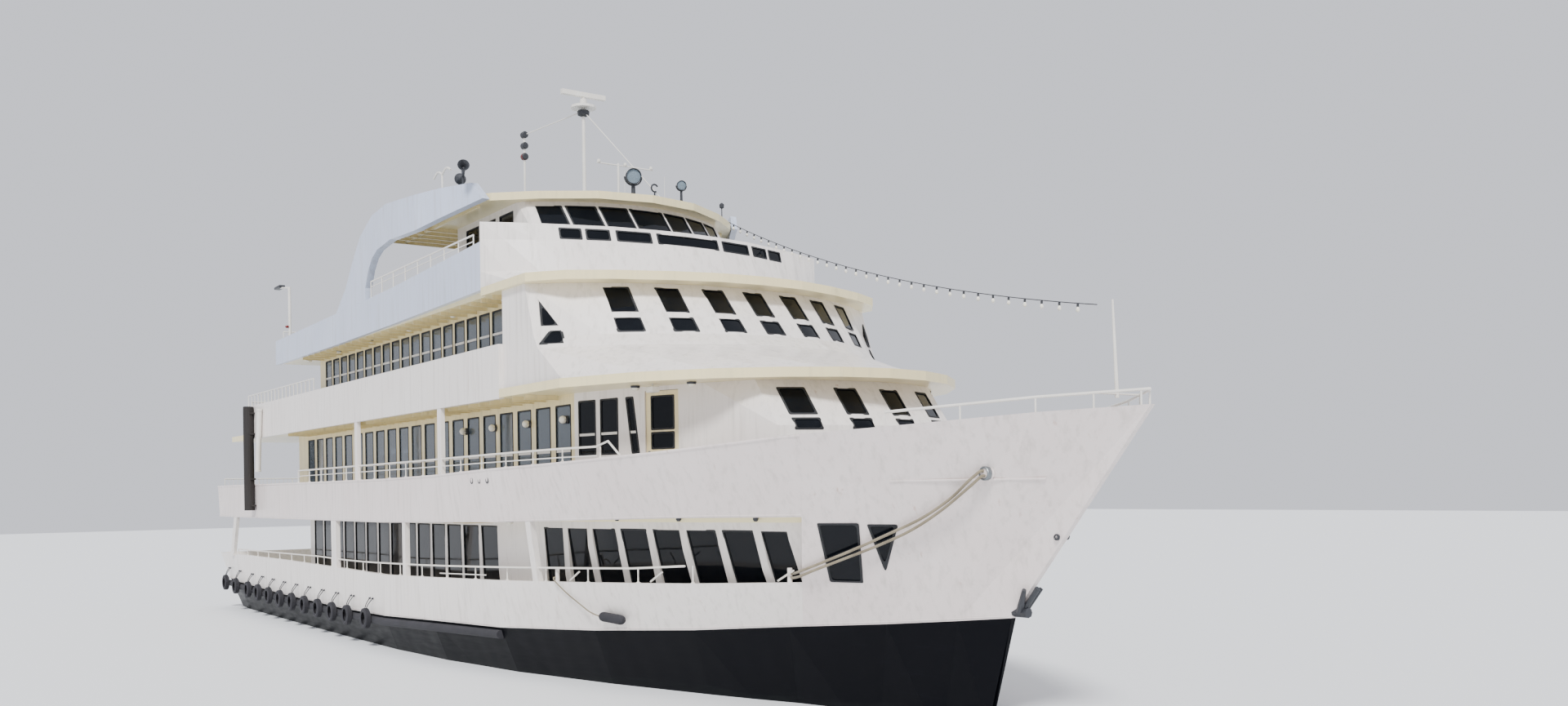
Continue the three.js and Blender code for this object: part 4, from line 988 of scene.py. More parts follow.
MAIN_PANES = [
    *(leaning(9.5 + 1.05 * i, 0.88, 0, 1.75, 3.25) for i in range(14)),
    *(leaning(26.3 + 0.95 * i, 0.76, -0.12, 1.75, 3.25) for i in range(7)),
    leaning(32.95, 0.62, -0.16, 1.75, 3.25),
]
UPPER_SIDE_PANES = [leaning(9.1 + 0.965 * i, 0.7, 0, 4.25, 5.8) for i in range(20)]
SALOON_SIDE_PANES = [leaning(11.5 + 0.76 * i, 0.6, 0, 7.0, 8.13) for i in range(19)]
PILOT_SIDE_PANES = [leaning(m, 0.8, 0, 9.7, 10.7) for m in (20.6, 21.65, 22.7)]


def quarter_face(sign):
    """The saloon front's returning corner, where its flat side turns into the rake."""
    def place(m, z, depth):
        shift = between(SALOON_LEVELS, z)
        # The side is flat, 4.4 m out, up to its edge, and a metre nearer at the next turn.
        edge = 27.75 + 0.4 * shift
        turn = 28.47 + 0.65 * shift
        share = max(0.0, (m - edge) / (turn - edge))
        return spot(m, sign * (4.4 - share - depth), z)
    return place


def windows():
    """Glass and seals of each wall, gathered wall by wall."""
    walls = [
        ("upper_front", GLASS_WITH_PAINTED_CABIN_SHADE, UPPER_PANES, front_face(UPPER_FRONT, UPPER_LEVELS)),
        ("saloon_front", GLASS_WITH_PAINTED_CABIN_SHADE, SALOON_PANES, front_face(SALOON_FRONT, SALOON_LEVELS)),
        ("pilothouse_front", GLASS_WITH_PAINTED_CABIN_SHADE, PILOT_PANES, front_face(PILOTHOUSE, PILOT_LEVELS)),
        ("bridge_slots", GLASS_WITH_PAINTED_CABIN_SHADE, BRIDGE_SLOTS, front_face(BRIDGE_FRONT, BRIDGE_LEVELS)),
    ]
    for side, sign in SIDES:
        walls += [
            ("upper_cheek_" + side, GLASS_WITH_PAINTED_CABIN_SHADE, CORNER_PANES, cheek_face(UPPER_FRONT, sign)),
            ("saloon_quarter_" + side, GLASS_WITH_PAINTED_CABIN_SHADE, QUARTER_PANES, quarter_face(sign)),
            ("bow_port_" + side, GLASS_WITH_PAINTED_CABIN_SHADE, BOW_PORTS, hull_face(sign)),
            ("main_side_" + side, GLASS_WITH_PAINTED_CABIN_SHADE, MAIN_PANES, main_face(sign)),
            ("upper_side_" + side, LIGHT_GLASS, UPPER_SIDE_PANES, flat_face(UPPER_WALL, sign)),
            ("saloon_side_" + side, LIGHT_GLASS, SALOON_SIDE_PANES, flat_face(SALOON_WALL, sign)),
            ("pilothouse_side_" + side, GLASS_WITH_PAINTED_CABIN_SHADE, PILOT_SIDE_PANES, flat_face(PILOT_WALL, sign)),
        ]
    for name, finish, panes, place in walls:
        glass, seals = Shape(), Shape()
        for outline in panes:
            glaze(glass, seals, outline, place)
        glass.piece("glass_" + name, finish)
        seals.piece("seals_" + name, SEAL)


windows()


# ---------------------------------------------------------------- belt and tyres

TYRES = [1.6, 3.4, 5.2, 6.6, 8.0, 9.4, 10.8, 12.2, 13.6, 15.0, 16.4, 18.0]
BELT_OUT = 0.112


def rubbing_belt(sign):
    """A D-section rubber belt under the paint line, held by a steel strip above and below."""
    belt = Shape()
    rings = []
    for s in even(0.4, 6.0, 72):
        foot = station(s)[2] - 0.16
        rings.append([
            on_side(s, foot + 0.1 * math.sin(a), BELT_OUT * math.cos(a), sign)
            for a in even(-math.pi / 2, math.pi / 2, 8)
        ] + [on_side(s, foot + 0.1, -0.06, sign), on_side(s, foot - 0.1, -0.1, sign)])
    belt.loft(rings)
    return belt


def tyre(shape, centre, sign):
    """A worn tyre on its side: rounded shoulders, four tread grooves and an open middle."""
    wide = 0.165
    tread = [0.274, 0.262, 0.275, 0.263, 0.277, 0.263, 0.275, 0.262, 0.274]
    profile = [(wide * 0.12, 0.165), (0.004, 0.19), (0.0, 0.225), (wide * 0.1, 0.262)]
    profile += [(wide * (0.2 + 0.6 * k / 8), r) for k, r in enumerate(tread)]
    profile += [(wide * 0.9, 0.262), (wide, 0.225), (wide - 0.004, 0.19), (wide * 0.88, 0.165),
                (wide * 0.8, 0.175), (wide * 0.8, 0.245), (wide * 0.2, 0.245), (wide * 0.2, 0.175)]
    shape.turned(centre, (0, sign, 0), profile, 36)


def belts_and_tyres():
    """The belt along each quarter, with the tyres that hang on it by two lashings each."""
    for side, sign in SIDES:
        belt = rubbing_belt(sign)
        tyres, lashings = Shape(), Shape()
        for m in TYRES:
            z = paint_line(m) - 0.12
            face = beside(m, z, BELT_OUT - 0.012, sign)
            tyre(tyres, (at(m), face.y, z), sign)
            # A lashing runs from the tyre's head up to a ring on the bulwark.
            for lean in (-0.05, 0.05):
                top = beside(m + 2.4 * lean, z + 0.52, 0.02, sign)
                bottom = spot(m + lean, face.y + sign * 0.08, z + 0.25)
                middle = bottom.lerp(top, 0.5) + Vector((0, sign * 0.02, 0))
                lashings.tube(smooth([bottom, middle, top], 4), 0.012, 6)
                lashings.knob(top - Vector((0, sign * 0.02, 0)), (0, sign, 0),
                              [(0.0, 0.03), (0.012, 0.03), (0.02, 0.02), (0.045, 0.018)], 8)
        piece = belt.piece("rubbing_belt_" + side, TYRE_RUBBER, crease=60)
        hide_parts("strake_" + side)
        ring = tyres.piece("tyre_fenders_" + side, TYRE_RUBBER, crease=40)
        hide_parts("strake_" + side)
        lashings.piece("tyre_lashings_" + side, DARK_ENAMEL)


belts_and_tyres()


# ---------------------------------------------------------------- rails

RAIL_RADIUS = 0.021
RAIL_INSET = 0.06


def stepped(start, end, pitch):
    """Places from start to end at about the pitch apart."""
    return even(start, end, max(1, round((end - start) / pitch)))


def rail_run(shape, top, foot, places, bars=1, drop=0.1):
    """A handrail on stanchions; top and foot give a point for each place along it."""
    tops = [top(m) for m in places]
    shape.tube(tops, RAIL_RADIUS, 8)
    for k in range(1, bars):
        shape.tube([p - UP * drop * k for p in tops], RAIL_RADIUS * 0.6, 6)
    for m, head in zip(places, tops):
        base = foot(m)
        shape.tube([base, Vector((base.x, base.y, head.z))], RAIL_RADIUS * 0.75, 8)
        shape.knob(base, UP, [(0.0, 0.045), (0.008, 0.045), (0.014, 0.03), (0.03, 0.018)], 10)


# Handrails: place and height of the rail.
MAIN_RAIL = [(2.9, 2.15), (12.9, 2.23), (16.4, 2.21), (21.9, 2.3), (29.9, 2.5), (31.6, 2.6)]
UPPER_RAIL = [(11.0, 4.8), (22.0, 4.82), (30.3, 4.86)]
SALOON_RAIL = [(5.0, 7.5), (12.8, 7.5)]
WING_RAIL = [(17.9, 9.62), (25.0, 9.68)]
# Top of the panel under the wing rail.
WING_PANEL = [(15.2, 9.12), (20.0, 9.22), (25.7, 9.45)]


def deck_rails():
    """Handrails along both sides of the main, upper, saloon and bridge decks."""
    for side, sign in SIDES:
        def on_skin(m, z, sign=sign):
            return beside(m, z, -RAIL_INSET, sign)

        def on_edge(m, z, sign=sign):
            return spot(m, sign * (HALF - RAIL_INSET), z)

        main, upper, saloon, wing = Shape(), Shape(), Shape(), Shape()
        rail_run(
            main, lambda m: on_skin(m, between(MAIN_RAIL, m)),
            lambda m: on_skin(m, bulwark_top(m)), stepped(2.9, 31.4, 1.42),
        )
        # The gate's extra bars, and stays that lean from the bulwark up to the rail.
        main.tube([on_skin(m, bulwark_top(m) + 0.1) for m in stepped(22.5, 24.8, 0.5)], 0.014, 6)
        for s in (6.94, 7.78, 9.04):
            head = on_side(s, between(BULWARK_TOP, s) + 0.22, -RAIL_INSET, sign)
            main.tube([on_skin(head.x + MIDSHIP - 0.42, head.z - 0.2), head], 0.018, 6)
        rail_run(
            upper, lambda m: on_skin(m, between(UPPER_RAIL, m)),
            lambda m: on_skin(m, sheer(m)), stepped(11.0, 30.3, 1.2), bars=2, drop=0.17,
        )
        upper.tube([
            on_skin(30.3, 4.86), on_skin(30.71, 4.95), on_skin(30.9, sheer(30.9)),
        ], RAIL_RADIUS, 8)
        rail_run(
            saloon, lambda m: on_edge(m, between(SALOON_RAIL, m)),
            lambda m: on_edge(m, 7.12), stepped(4.9, 12.8, 0.44),
        )
        rail_run(
            wing, lambda m: on_edge(m, between(WING_RAIL, m)),
            lambda m: on_edge(m, between(WING_PANEL, m)), stepped(18.2, 25.2, 0.875),
            bars=2, drop=0.14,
        )
        for name, rail in (("main", main), ("upper", upper), ("saloon", saloon), ("wing", wing)):
            rail.piece("rail_" + name + "_" + side, RAIL_WHITE)


# Columns: deck, place, half length, head and count of bars.
STERN_RAILS = [
    ("upper", 0.5, 4.3, 4.7, 4), ("saloon", 4.85, 4.3, 7.3, 4), ("bridge", 9.0, 4.3, 9.3, 3),
]


def stern_rails():
    """Rails with balusters across the open ends of the three decks."""
    for name, m, half, head, bars in STERN_RAILS:
        shape, deck = Shape(), DECK[name]
        places = stepped(-half, half, 1.2)
        drop = (head - deck) / bars
        rail_run(
            shape, lambda y: spot(m, y, head), lambda y: spot(m, y, deck),
            places, bars=bars, drop=drop,
        )
        for y in stepped(-half, half, 0.15):
            shape.tube([spot(m, y, deck + 0.08), spot(m, y, head)], 0.008, 6)
        shape.piece("rail_stern_" + name, RAIL_WHITE)


deck_rails()
stern_rails()


# ---------------------------------------------------------------- window furniture

def pane_bars():
    """White bars across the lounge and saloon panes, flush with the wall."""
    rows = [
        ("saloon_side", SALOON_SIDE_PANES, 7.61, 0.05, lambda sign: flat_face(SALOON_WALL, sign)),
        ("saloon_sill", SALOON_SIDE_PANES, 7.28, 0.03, lambda sign: flat_face(SALOON_WALL, sign)),
        ("upper_side", UPPER_SIDE_PANES, 4.86, 0.05, lambda sign: flat_face(UPPER_WALL, sign)),
        ("upper_cheek", CORNER_PANES, 5.16, 0.05, lambda sign: cheek_face(UPPER_FRONT, sign)),
    ]
    for side, sign in SIDES:
        for name, panes, z, high, face in rows:
            shape = Shape()
            place = face(sign)
            for pane in panes:
                aft, forward = min(p[0] for p in pane), max(p[0] for p in pane)
                # The foremost cheek pane leans, so its bar stays inside both slanting edges.
                if name == "upper_cheek" and aft > 29.8:
                    aft, forward = aft + 0.09, forward - 0.05
                shape.slab(place, box_outline(aft - 0.002, forward + 0.002, z - high / 2,
                                              z + high / 2), -0.004, 0.013)
            shape.piece("bars_" + name + "_" + side, RAIL_WHITE)


def upright_slats():
    """Upright blind slats hung behind the lower part of the saloon decks' side panes."""
    rows = [
        ("upper", UPPER_SIDE_PANES, 4.24, 5.1, UPPER_WALL),
        ("saloon", SALOON_SIDE_PANES, 6.98, 7.6, SALOON_WALL),
    ]
    for side, sign in SIDES:
        for name, panes, foot, head, half in rows:
            shape = Shape()
            place = flat_face(half, sign)
            for pane in panes:
                aft, forward = min(p[0] for p in pane) - 0.04, max(p[0] for p in pane) + 0.04
                count = int((forward - aft) / 0.089)
                for k in range(count):
                    m = aft + (forward - aft) * (k + 0.5) / count
                    outline = []
                    for t in (-1, -0.5, 0, 0.5, 1):
                        outline.append((m + 0.044 * t, 0.125 + 0.01 * (1 - t * t)))
                    back = [(u, d + 0.003) for u, d in outline[::-1]]
                    shape.loft([
                        [place(u, z, d) for u, d in [*outline, *back]] for z in (foot, head)
                    ])
                shape.slab(place, box_outline(aft, forward, head, head + 0.04), 0.11, 0.15)
            shape.piece("blind_slats_" + name + "_" + side, SLAT)


def door_fittings():
    """Glass, lever handle and kick plate on each side door, which they ride with."""
    for side, sign in SIDES:
        (h0, m0), (h1, m1) = ((UPPER_FRONT[i][0], UPPER_FRONT[i][1]) for i in (1, 2))
        aft, forward = spot(m0, sign * h0, 0), spot(m1, sign * h1, 0)
        along = (forward - aft).normalized()
        out = Vector((along.y, -along.x, 0)) * -sign
        middle = aft.lerp(forward, 0.5)

        def place(u, z, depth, middle=middle, along=along, out=out):
            return middle + along * u + out * (-0.035 - depth) + UP * z

        glass, seals, metal = Shape(), Shape(), Shape()
        for z0, z1 in ((4.82, 5.13), (5.19, 5.83)):
            glaze(glass, seals, box_outline(-0.28, 0.28, z0, z1), place)
        metal.slab(place, box_outline(-0.36, 0.36, 3.76, 3.96), -0.003, 0.001)
        metal.slab(place, rounded(box_outline(-0.37, -0.31, 4.6, 4.78), 0.02), -0.006, 0.001)
        spindle = place(-0.34, 4.7, 0.0)
        metal.knob(spindle, out, [(0.0, 0.014), (0.045, 0.014), (0.055, 0.01)], 12)
        metal.tube([spindle + out * 0.045, spindle + out * 0.048 + along * 0.06,
                    spindle + out * 0.04 + along * 0.13], 0.01, 8)
        glass.piece("door_glass_" + side, GLASS_WITH_PAINTED_CABIN_SHADE, "door_" + side)
        seals.piece("door_seals_" + side, SEAL, "door_" + side)
        metal.piece("door_handle_" + side, GALVANISED, "door_" + side)


pane_bars()
upright_slats()
door_fittings()


# ---------------------------------------------------------------- beams under the decks

def deck_beams():
    """Flanged beams under the walkways' ceilings and the roof, on the frames' spacing."""
    for side, sign in SIDES:
        rows = [
            ("upper", stepped(9.6, 27.6, 0.6), CEILING["upper"], 3.62, 4.37, 0.09),
            ("saloon", stepped(11.4, 26.0, 0.6), CEILING["saloon"], 3.72, 4.37, 0.08),
            ("main", stepped(9.6, 24.0, 0.6), CEILING["main"], 3.57, 4.3, 0.08),
        ]
        for name, places, under, inner, outer, deep in rows:
            shape = Shape()
            for m in places:
                low, high = sorted((sign * inner, sign * outer))
                shape.block((at(m) - 0.004, low, under - deep), (at(m) + 0.004, high, under),
                            0.001)
                shape.block((at(m) - 0.03, low, under - deep - 0.008),
                            (at(m) + 0.03, high, under - deep), 0.002)
            # The beams take the cream tone that is painted for warm light.
            shape.piece("beams_" + name + "_" + side, CREAM_PAINTED_SUNLIGHT)
    roof = Shape()
    for m in stepped(17.9, 19.9, 0.5):
        roof.block((at(m) - 0.005, -4.25, 10.77), (at(m) + 0.005, 4.25, CEILING["roof"]), 0.001)
        roof.block((at(m) - 0.035, -4.25, 10.762), (at(m) + 0.035, 4.25, 10.77), 0.002)
    for y, end in ((-4.1, 21.3), (-3.4, 23.0), (3.4, 23.0), (4.1, 21.3)):
        roof.block((at(17.8), y - 0.04, 10.79), (at(end), y + 0.04, CEILING["roof"]), 0.004)
    roof.piece("roof_beams", CREAM_PAINTED_SUNLIGHT)


deck_beams()


# ---------------------------------------------------------------- lamps and roof fittings

def bulkhead_lamp(glass, metal, foot, out):
    """A round lamp on a wall: enamelled back, opal globe and a guard of two hoops."""
    metal.knob(foot, out, [(0.0, 0.085), (0.02, 0.085), (0.035, 0.07), (0.05, 0.065)], 20)
    glass.knob(foot + out * 0.045, out, [
        (0.0, 0.062), (0.03, 0.078), (0.07, 0.08), (0.105, 0.062), (0.125, 0.03), (0.13, 0.004),
    ], 20)
    across, over = square_to(out)
    for side in (across, over):
        hoop = [foot + out * 0.03 + out * 0.115 * math.sin(t) + side * 0.092 * math.cos(t)
                for t in even(0, math.pi, 12)]
        metal.tube(hoop, 0.004, 6)


def ceiling_lamp(glass, metal, head):
    metal.knob(head, -UP, [(0.0, 0.09), (0.03, 0.09), (0.045, 0.08)], 20)
    glass.knob(head - UP * 0.04, -UP, [
        (0.0, 0.075), (0.03, 0.07), (0.055, 0.045), (0.062, 0.004),
    ], 20)


# Places of the lamps on the upper wall, and place and offset of those under the visor.
WALL_LAMPS = [22.67, 24.42, 26.27, 28.09]
VISOR_LAMPS = [(30.5, -3.4), (31.74, -2.9)]


def walkway_lamps():
    """Wall, ceiling and visor lamps along both walkways."""
    for side, sign in SIDES:
        glass, metal = Shape(), Shape()
        for m in WALL_LAMPS:
            bulkhead_lamp(glass, metal, Vector((at(m) - 0.13, sign * UPPER_WALL, 5.5)),
                          Vector((0, sign, 0)))
        for m, y in VISOR_LAMPS:
            ceiling_lamp(glass, metal, spot(m, -sign * y, CEILING["upper"]))
        for m in stepped(10.5, 25.5, 3.0):
            for y, ceiling in ((4.0, "saloon"), (3.95, "main")):
                ceiling_lamp(glass, metal, Vector((at(m) + 0.3, sign * y, CEILING[ceiling])))
        glass.piece("lamp_globes_" + side, OPAL)
        metal.piece("lamp_backs_" + side, DARK_ENAMEL)
        # Square flood lamp on the visor, tilted down at the door.
        flood = Shape()
        foot = spot(31.08, sign * 3.35, CEILING["upper"])
        flood.tube([foot, foot - UP * 0.05], 0.02, 8)
        flood.block(foot - Vector((0.12, 0.09, 0.17)), foot + Vector((0.12, 0.09, -0.05)), 0.02)
        flood.piece("visor_flood_" + side, RAIL_WHITE)


def searchlight(metal, glass, foot, aim, size, stand):
    """A drum searchlight in a yoke on its post."""
    aim = aim.normalized()
    head = foot + UP * (stand + size)
    metal.knob(foot, UP, [(0.0, size * 0.7), (0.02, size * 0.7), (0.05, size * 0.3),
                          (stand, size * 0.25)], 16)
    across, _ = square_to(aim)
    yoke = [head + across * size * 1.12 * math.cos(t) - UP * size * 1.12 * math.sin(t)
            for t in even(0, math.pi, 12)]
    metal.tube(yoke, size * 0.09, 8)
    back = head - aim * size * 0.9
    metal.turned(back, aim, [
        (0.0, 0.004), (0.0, size * 0.55), (size * 0.3, size * 0.85), (size * 0.7, size),
        (size * 1.7, size), (size * 1.7, size * 0.93), (size * 1.35, size * 0.9),
        (size * 0.5, size * 0.6), (size * 0.2, 0.004),
    ], 24)
    glass.knob(back + aim * size * 1.4, aim, [(0.0, size * 0.89), (0.01, size * 0.89),
                                              (0.02, size * 0.4), (0.024, 0.003)], 24)


def roof_fittings():
    """Searchlights, yard, lamps, horn and aerials, gathered by finish."""
    metal, glass, white = Shape(), Shape(), Shape()
    roof = DECK["roof"]
    ahead = Vector((0.9, -0.35, -0.08))
    searchlight(metal, glass, spot(24.4, 0.0, roof), ahead, 0.19, 0.44)
    searchlight(metal, glass, spot(24.5, 1.3, roof), ahead, 0.12, 0.43)
    # A yard under the forward stay, with a horseshoe lamp hung from a short stand.
    white.tube([spot(23.0, 0.35, roof), spot(23.0, 0.35, 12.35)], 0.03, 8)
    white.tube([spot(23.0, -0.25, 12.3), spot(23.0, 1.35, 12.3)], 0.018, 8)
    for k in range(3):
        white.knob(spot(23.0, -0.2 + 0.75 * k, 12.3), UP,
                   [(0.0, 0.03), (0.02, 0.045), (0.07, 0.045), (0.09, 0.02)], 12)
    stand = spot(24.57, 0.5, roof)
    metal.tube([stand, stand + UP * 0.3], 0.02, 8)
    horseshoe = [stand + UP * 0.38 + Vector((0, math.cos(t), math.sin(t))) * 0.09
                 for t in even(0.5, 2 * math.pi - 1.1, 14)]
    metal.tube(horseshoe, 0.022, 8)
    # Small lamp on a stalk at the roof's port corner.
    lamp = spot(23.4, 3.2, roof)
    metal.tube([lamp, lamp + UP * 0.42], 0.014, 8)
    metal.knob(lamp + UP * 0.4, UP, [
        (0.0, 0.03), (0.02, 0.06), (0.1, 0.065), (0.14, 0.03), (0.15, 0.004),
    ], 16)
    # Twin air horn on the starboard arch's crown.
    horn = spot(23.0, -3.78, 11.28)
    metal.tube([horn, horn + UP * 0.22], 0.03, 8)
    for aim, long in ((Vector((0.8, -0.3, 0.14)), 0.62), (Vector((-0.8, 0.2, 0.05)), 0.5)):
        metal.knob(horn + UP * 0.24, aim, [
            (0.0, 0.035), (long * 0.4, 0.04), (long * 0.7, 0.06), (long * 0.9, 0.1), (long, 0.14),
            (long - 0.01, 0.12), (long * 0.75, 0.02),
        ], 20)
    # Gull-wing aerial on a stand behind the horn.
    aerial = spot(22.4, -4.06, 11.28)
    white.tube([aerial, aerial + UP * 0.35], 0.022, 8)
    for way in (-1, 1):
        wing = [aerial + UP * (0.35 + 0.1 * math.sin(math.pi * t)) + Vector((way * 0.55 * t, 0, 0))
                for t in even(0, 1, 8)]
        white.tube(wing, 0.026, 8)
    # Whip aerials.
    for m, y, high in ((19.2, 2.6, 2.2), (20.6, 3.1, 1.8)):
        foot = spot(m, y, roof)
        white.knob(foot, UP, [(0.0, 0.03), (0.15, 0.022), (0.3, 0.012), (high, 0.005)], 8)
    metal.piece("roof_lamps_and_horn", DARK_ENAMEL)
    glass.piece("searchlight_glass", BLUE_GLASS)
    white.piece("roof_yard_and_aerials", RAIL_WHITE)


def mast_lamps():
    """Lamp bodies over the CAD pole's three drums, and a lamp under the platform."""
    metal, lens = Shape(), Shape()
    x, y = at(20.1), -0.9
    for z in (13.56, 13.27, 12.98):
        metal.turned((x - 0.085, y, z), (1, 0, 0), [
            (0.0, 0.004), (0.0, 0.07), (0.02, 0.09), (0.15, 0.09), (0.17, 0.07), (0.17, 0.004),
        ], 20)
    lens.turned((x - 0.04, y, 12.98), (1, 0, 0), [
        (0.0, 0.085), (0.0, 0.096), (0.08, 0.096), (0.08, 0.085),
    ], 20)
    metal.knob(spot(21.8, 0, 13.93), -UP, [
        (0.0, 0.14), (0.03, 0.16), (0.12, 0.15), (0.16, 0.06),
    ], 20)
    metal.piece("mast_lamp_bodies", DARK_ENAMEL)
    lens.piece("mast_lamp_lens", RED_LENS)


def aft_lamp_post():
    """Post on the bridge deck's quarter with a flood lamp arm and a small red lamp."""
    for side, sign in SIDES:
        post, lens, lamp = Shape(), Shape(), Shape()
        foot = spot(9.0, sign * 4.1, DECK["bridge"])
        post.tube([foot, foot + UP * 2.3], 0.045, 12)
        post.knob(foot, UP, [(0.0, 0.11), (0.015, 0.11), (0.02, 0.06), (0.12, 0.05)], 16)
        arm = foot + UP * 2.28
        post.tube([arm, arm + Vector((-1.5, 0, 0.2))], 0.03, 8)
        lamp.block(arm + Vector((-1.5, -0.1, 0.12)), arm + Vector((-0.85, 0.1, 0.21)), 0.02)
        lens.knob(foot + Vector((0.02, sign * 0.05, 1.02)), (0, sign, 0), [
            (0.0, 0.035), (0.03, 0.045), (0.07, 0.04), (0.1, 0.02), (0.105, 0.003),
        ], 12)
        post.piece("aft_lamp_post_" + side, RAIL_WHITE)
        lamp.piece("aft_flood_" + side, DARK_ENAMEL)
        lens.piece("aft_red_lamp_" + side, RED_LENS)


def light_string():
    """Festoon of small lamps from the roof's port corner down to the jackstaff's head."""
    wire, bulbs = Shape(), Shape()
    hang = 0.4
    start, end = spot(23.5, 3.3, 11.1), spot(38.92, 0, 6.76)
    line = [start.lerp(end, t) - UP * hang * 4 * t * (1 - t) for t in even(0, 1, 60)]
    wire.tube(line, 0.009, 6)
    for point in spaced(line, 34)[1:-1]:
        wire.knob(point - UP * 0.004, -UP, [
            (0.0, 0.012), (0.01, 0.02), (0.05, 0.02), (0.055, 0.012),
        ], 10)
        bulbs.knob(point - UP * 0.055, -UP, [
            (0.0, 0.012), (0.02, 0.024), (0.045, 0.032), (0.07, 0.026), (0.085, 0.01),
            (0.087, 0.002),
        ], 12)
    wire.piece("light_string_wire", DARK_ENAMEL)
    bulbs.piece("light_string_bulbs", OPAL)


walkway_lamps()
roof_fittings()
mast_lamps()
aft_lamp_post()
light_string()


# ---------------------------------------------------------------- fittings on the hull

def hull_fittings():
    """Hawse rim, fairlead mouth, freeing ports, small lamps and the hull's mouldings."""
    for side, sign in SIDES:
        dark, bright, seam = Shape(), Shape(), Shape()
        # Hawse rim and the fairlead's bell mouth.
        hawse = on_side(11.9, 3.18, 0.0, sign)
        out = (on_side(11.9, 3.18, 0.1, sign) - hawse).normalized()
        dark.turned(hawse - out * 0.02, out, [
            (0.0, 0.03), (0.03, 0.026), (0.04, 0.035), (0.035, 0.05), (0.0, 0.055),
        ], 20)
        mouth = on_side(FAIRLEAD["s"], FAIRLEAD["z"], FAIRLEAD["out"], sign)
        bright.turned(mouth - Vector((0, sign * 0.07, 0)), (0, sign, 0), [
            (0.0, 0.112), (0.075, 0.112), (0.09, 0.1), (0.085, 0.084), (0.0715, 0.08),
            (0.0715, 0.105), (0.0, 0.105),
        ], 28)
        # Small lamps under the plating over the walkway, and dark freeing ports in the band.
        for s in (7.44, 8.02, 8.72):
            foot = on_side(s, 3.45, -0.06, sign)
            dark.knob(foot + UP * 0.06, -UP, [(0.0, 0.05), (0.04, 0.05), (0.07, 0.03)], 12)
        for s in (5.72, 5.84, 5.96):
            foot = on_side(s, 4.3, 0.0, sign)
            dark.turned(foot - Vector((0, sign * 0.01, 0)), (0, sign, 0), [
                (0.0, 0.05), (0.0, 0.08), (0.02, 0.075), (0.022, 0.055),
            ], 16)
        # Half-round moulding on the bow's knuckle, and along the plating's foot and head.
        for low, high, z_of, wide in (
            (9.9, 11.4, lambda s: 4.1, 0.022),
            (0.0, 9.14, lambda s: station(s)[5] - 0.03, 0.026),
            (0.0, 9.14, lambda s: between(
                [(0, 3.3), (4, 3.3), (6, 3.38), (8, 3.5), (9.15, 3.52)], s) + 0.03, 0.02),
            (0.3, 11.9, lambda s: station(s)[2] + 0.04, 0.018),
        ):
            rings = []
            for s in even(low, high, 48):
                z = z_of(s)
                rings.append([
                    on_side(s, z + wide * math.sin(a), max(-0.004, wide * math.cos(a) * 0.6), sign)
                    for a in even(-math.pi / 2, math.pi / 2, 6)
                ] + [on_side(s, z, -0.02, sign)])
            seam.loft(rings)
        dark.piece("hull_ports_and_lamps_" + side, DARK_ENAMEL)
        bright.piece("fairlead_mouth_" + side, GALVANISED)
        seam.piece("hull_mouldings_" + side, HULL_WHITE)


EXHAUST = {"m": 5.8, "y": 4.67, "head": 7.02}


def quarter_posts():
    """White vent casing up each quarter, and the brackets and rim of the exhaust beside it."""
    bracket_heights = (3.72, 4.62, 6.15, 6.85)
    for side, sign in SIDES:
        casing, iron = Shape(), Shape()
        foot, head = spot(6.72, sign * 4.6, 4.86), spot(7.02, sign * 4.6, 6.96)
        casing.turned(foot, (head - foot).normalized(), [
            (0.0, 0.02), (0.0, 0.1), (0.04, 0.1), (0.05, 0.085), (2.02, 0.085), (2.03, 0.098),
            (2.1, 0.098), (2.1, 0.07), (1.9, 0.02),
        ], 20)
        for z in bracket_heights:
            near, far = sorted((sign * HALF, sign * EXHAUST["y"]))
            iron.block((at(EXHAUST["m"]) - 0.2, near, z - 0.03),
                       (at(EXHAUST["m"]) + 0.2, far, z + 0.03), 0.006)
        iron.turned(spot(EXHAUST["m"], sign * EXHAUST["y"], EXHAUST["head"]), UP, [
            (0.0, 0.145), (0.0, 0.165), (0.05, 0.165), (0.06, 0.155), (0.05, 0.145),
        ], 28)
        casing.piece("quarter_casing_" + side, RAIL_WHITE)
        iron.piece("exhaust_brackets_" + side, SOOT)


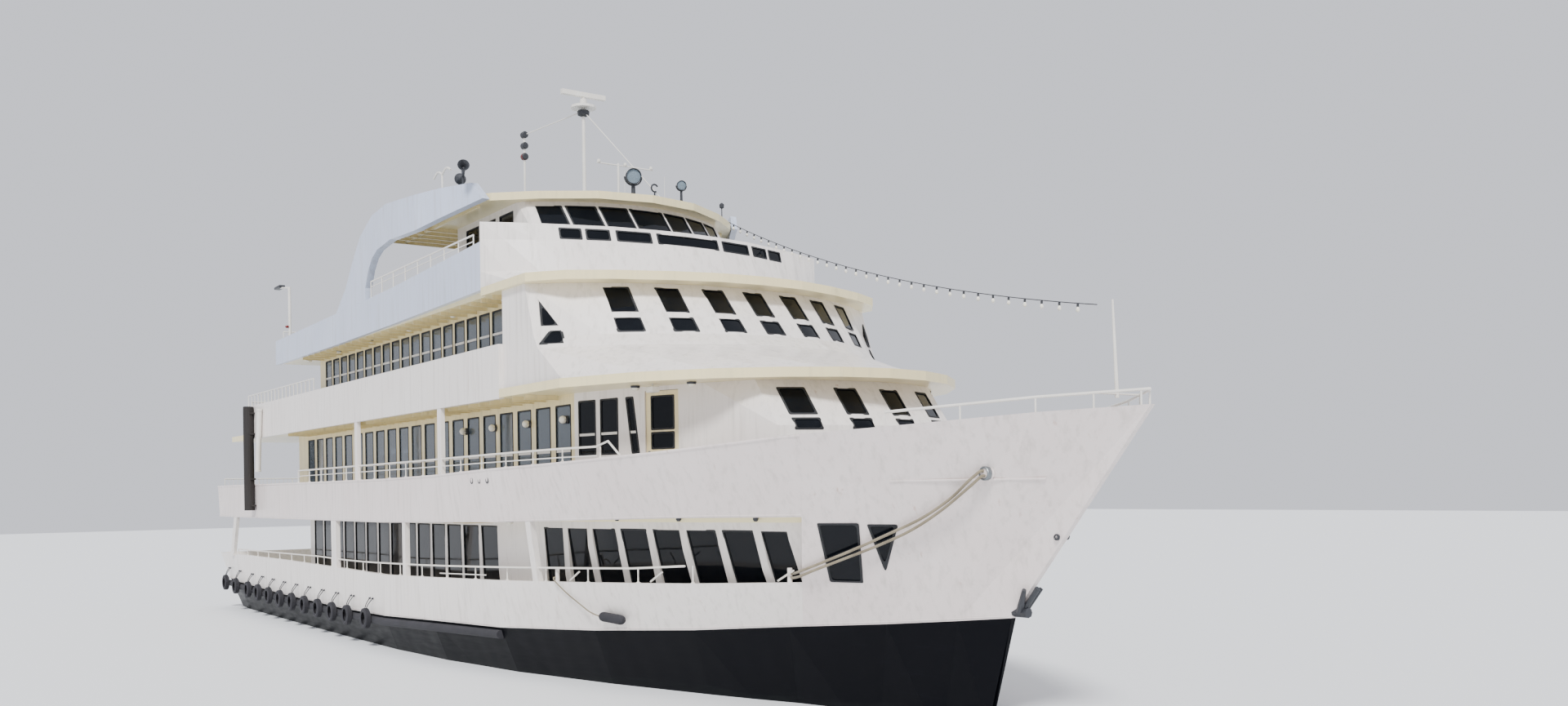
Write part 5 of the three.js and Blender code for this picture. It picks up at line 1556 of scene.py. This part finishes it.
def foredeck_gear():
    """Bollards, a coaming hatch and the windlass's drums in the well behind the bulwark."""
    gear, hatch = Shape(), Shape()
    for _, sign in SIDES:
        for dx in (-0.22, 0.22):
            foot = Vector((at(36.0) + dx, sign * 1.3, DECK["fore"]))
            gear.knob(foot, UP, [(0.0, 0.1), (0.02, 0.1), (0.03, 0.07), (0.3, 0.07), (0.32, 0.1),
                                 (0.36, 0.1), (0.38, 0.07)], 18)
        gear.turned(spot(37.9, sign * 0.46, 4.57), (0, sign, 0), [
            (0.0, 0.02), (0.0, 0.19), (0.03, 0.19), (0.05, 0.13), (0.14, 0.12), (0.2, 0.16),
            (0.22, 0.16), (0.22, 0.02),
        ], 24)
    hatch.block((at(34.5), -0.45, DECK["fore"]), (at(35.4), 0.45, 4.4), 0.03)
    hatch.block((at(34.44), -0.5, 4.4), (at(35.46), 0.5, 4.45), 0.02)
    gear.piece("foredeck_bollards_and_drums", DARK_ENAMEL)
    hatch.piece("foredeck_hatch", WHITE)


hull_fittings()
quarter_posts()
foredeck_gear()


# ---------------------------------------------------------------- studio

def soft_studio():
    """A pale sky all round, and a hazy sun from the starboard bow with soft-edged shadows."""
    world = bpy.data.worlds.new("studio")
    bpy.context.scene.world = world
    world.use_nodes = True
    back = world.node_tree.nodes["Background"]
    back.inputs["Color"].default_value = (0.9, 0.92, 1.0, 1)
    back.inputs["Strength"].default_value = 1.0
    data = bpy.data.lights.new("sun", "SUN")
    data.energy = 4.2
    data.angle = math.radians(12)
    sun = bpy.data.objects.new("sun", data)
    bpy.context.scene.collection.objects.link(sun)
    sun.rotation_euler = Vector((-0.55, 0.45, -0.7)).to_track_quat("-Z", "Y").to_euler()


def lay_floor():
    """Plain floor at the waterline, 300 m square, so that its edge is never seen."""
    mesh = bpy.data.meshes.new("floor")
    mesh.from_pydata([(-150, -150, 0), (150, -150, 0), (150, 150, 0), (-150, 150, 0)], [],
                     [(0, 1, 2, 3)])
    material, _, _ = new_finish("pale_studio_floor", {
        "Base Color": linear("#eceef0"), "Roughness": 0.8,
    })
    mesh.materials.append(material)
    floor = bpy.data.objects.new("floor", mesh)
    bpy.context.scene.collection.objects.link(floor)


soft_studio()
lay_floor()
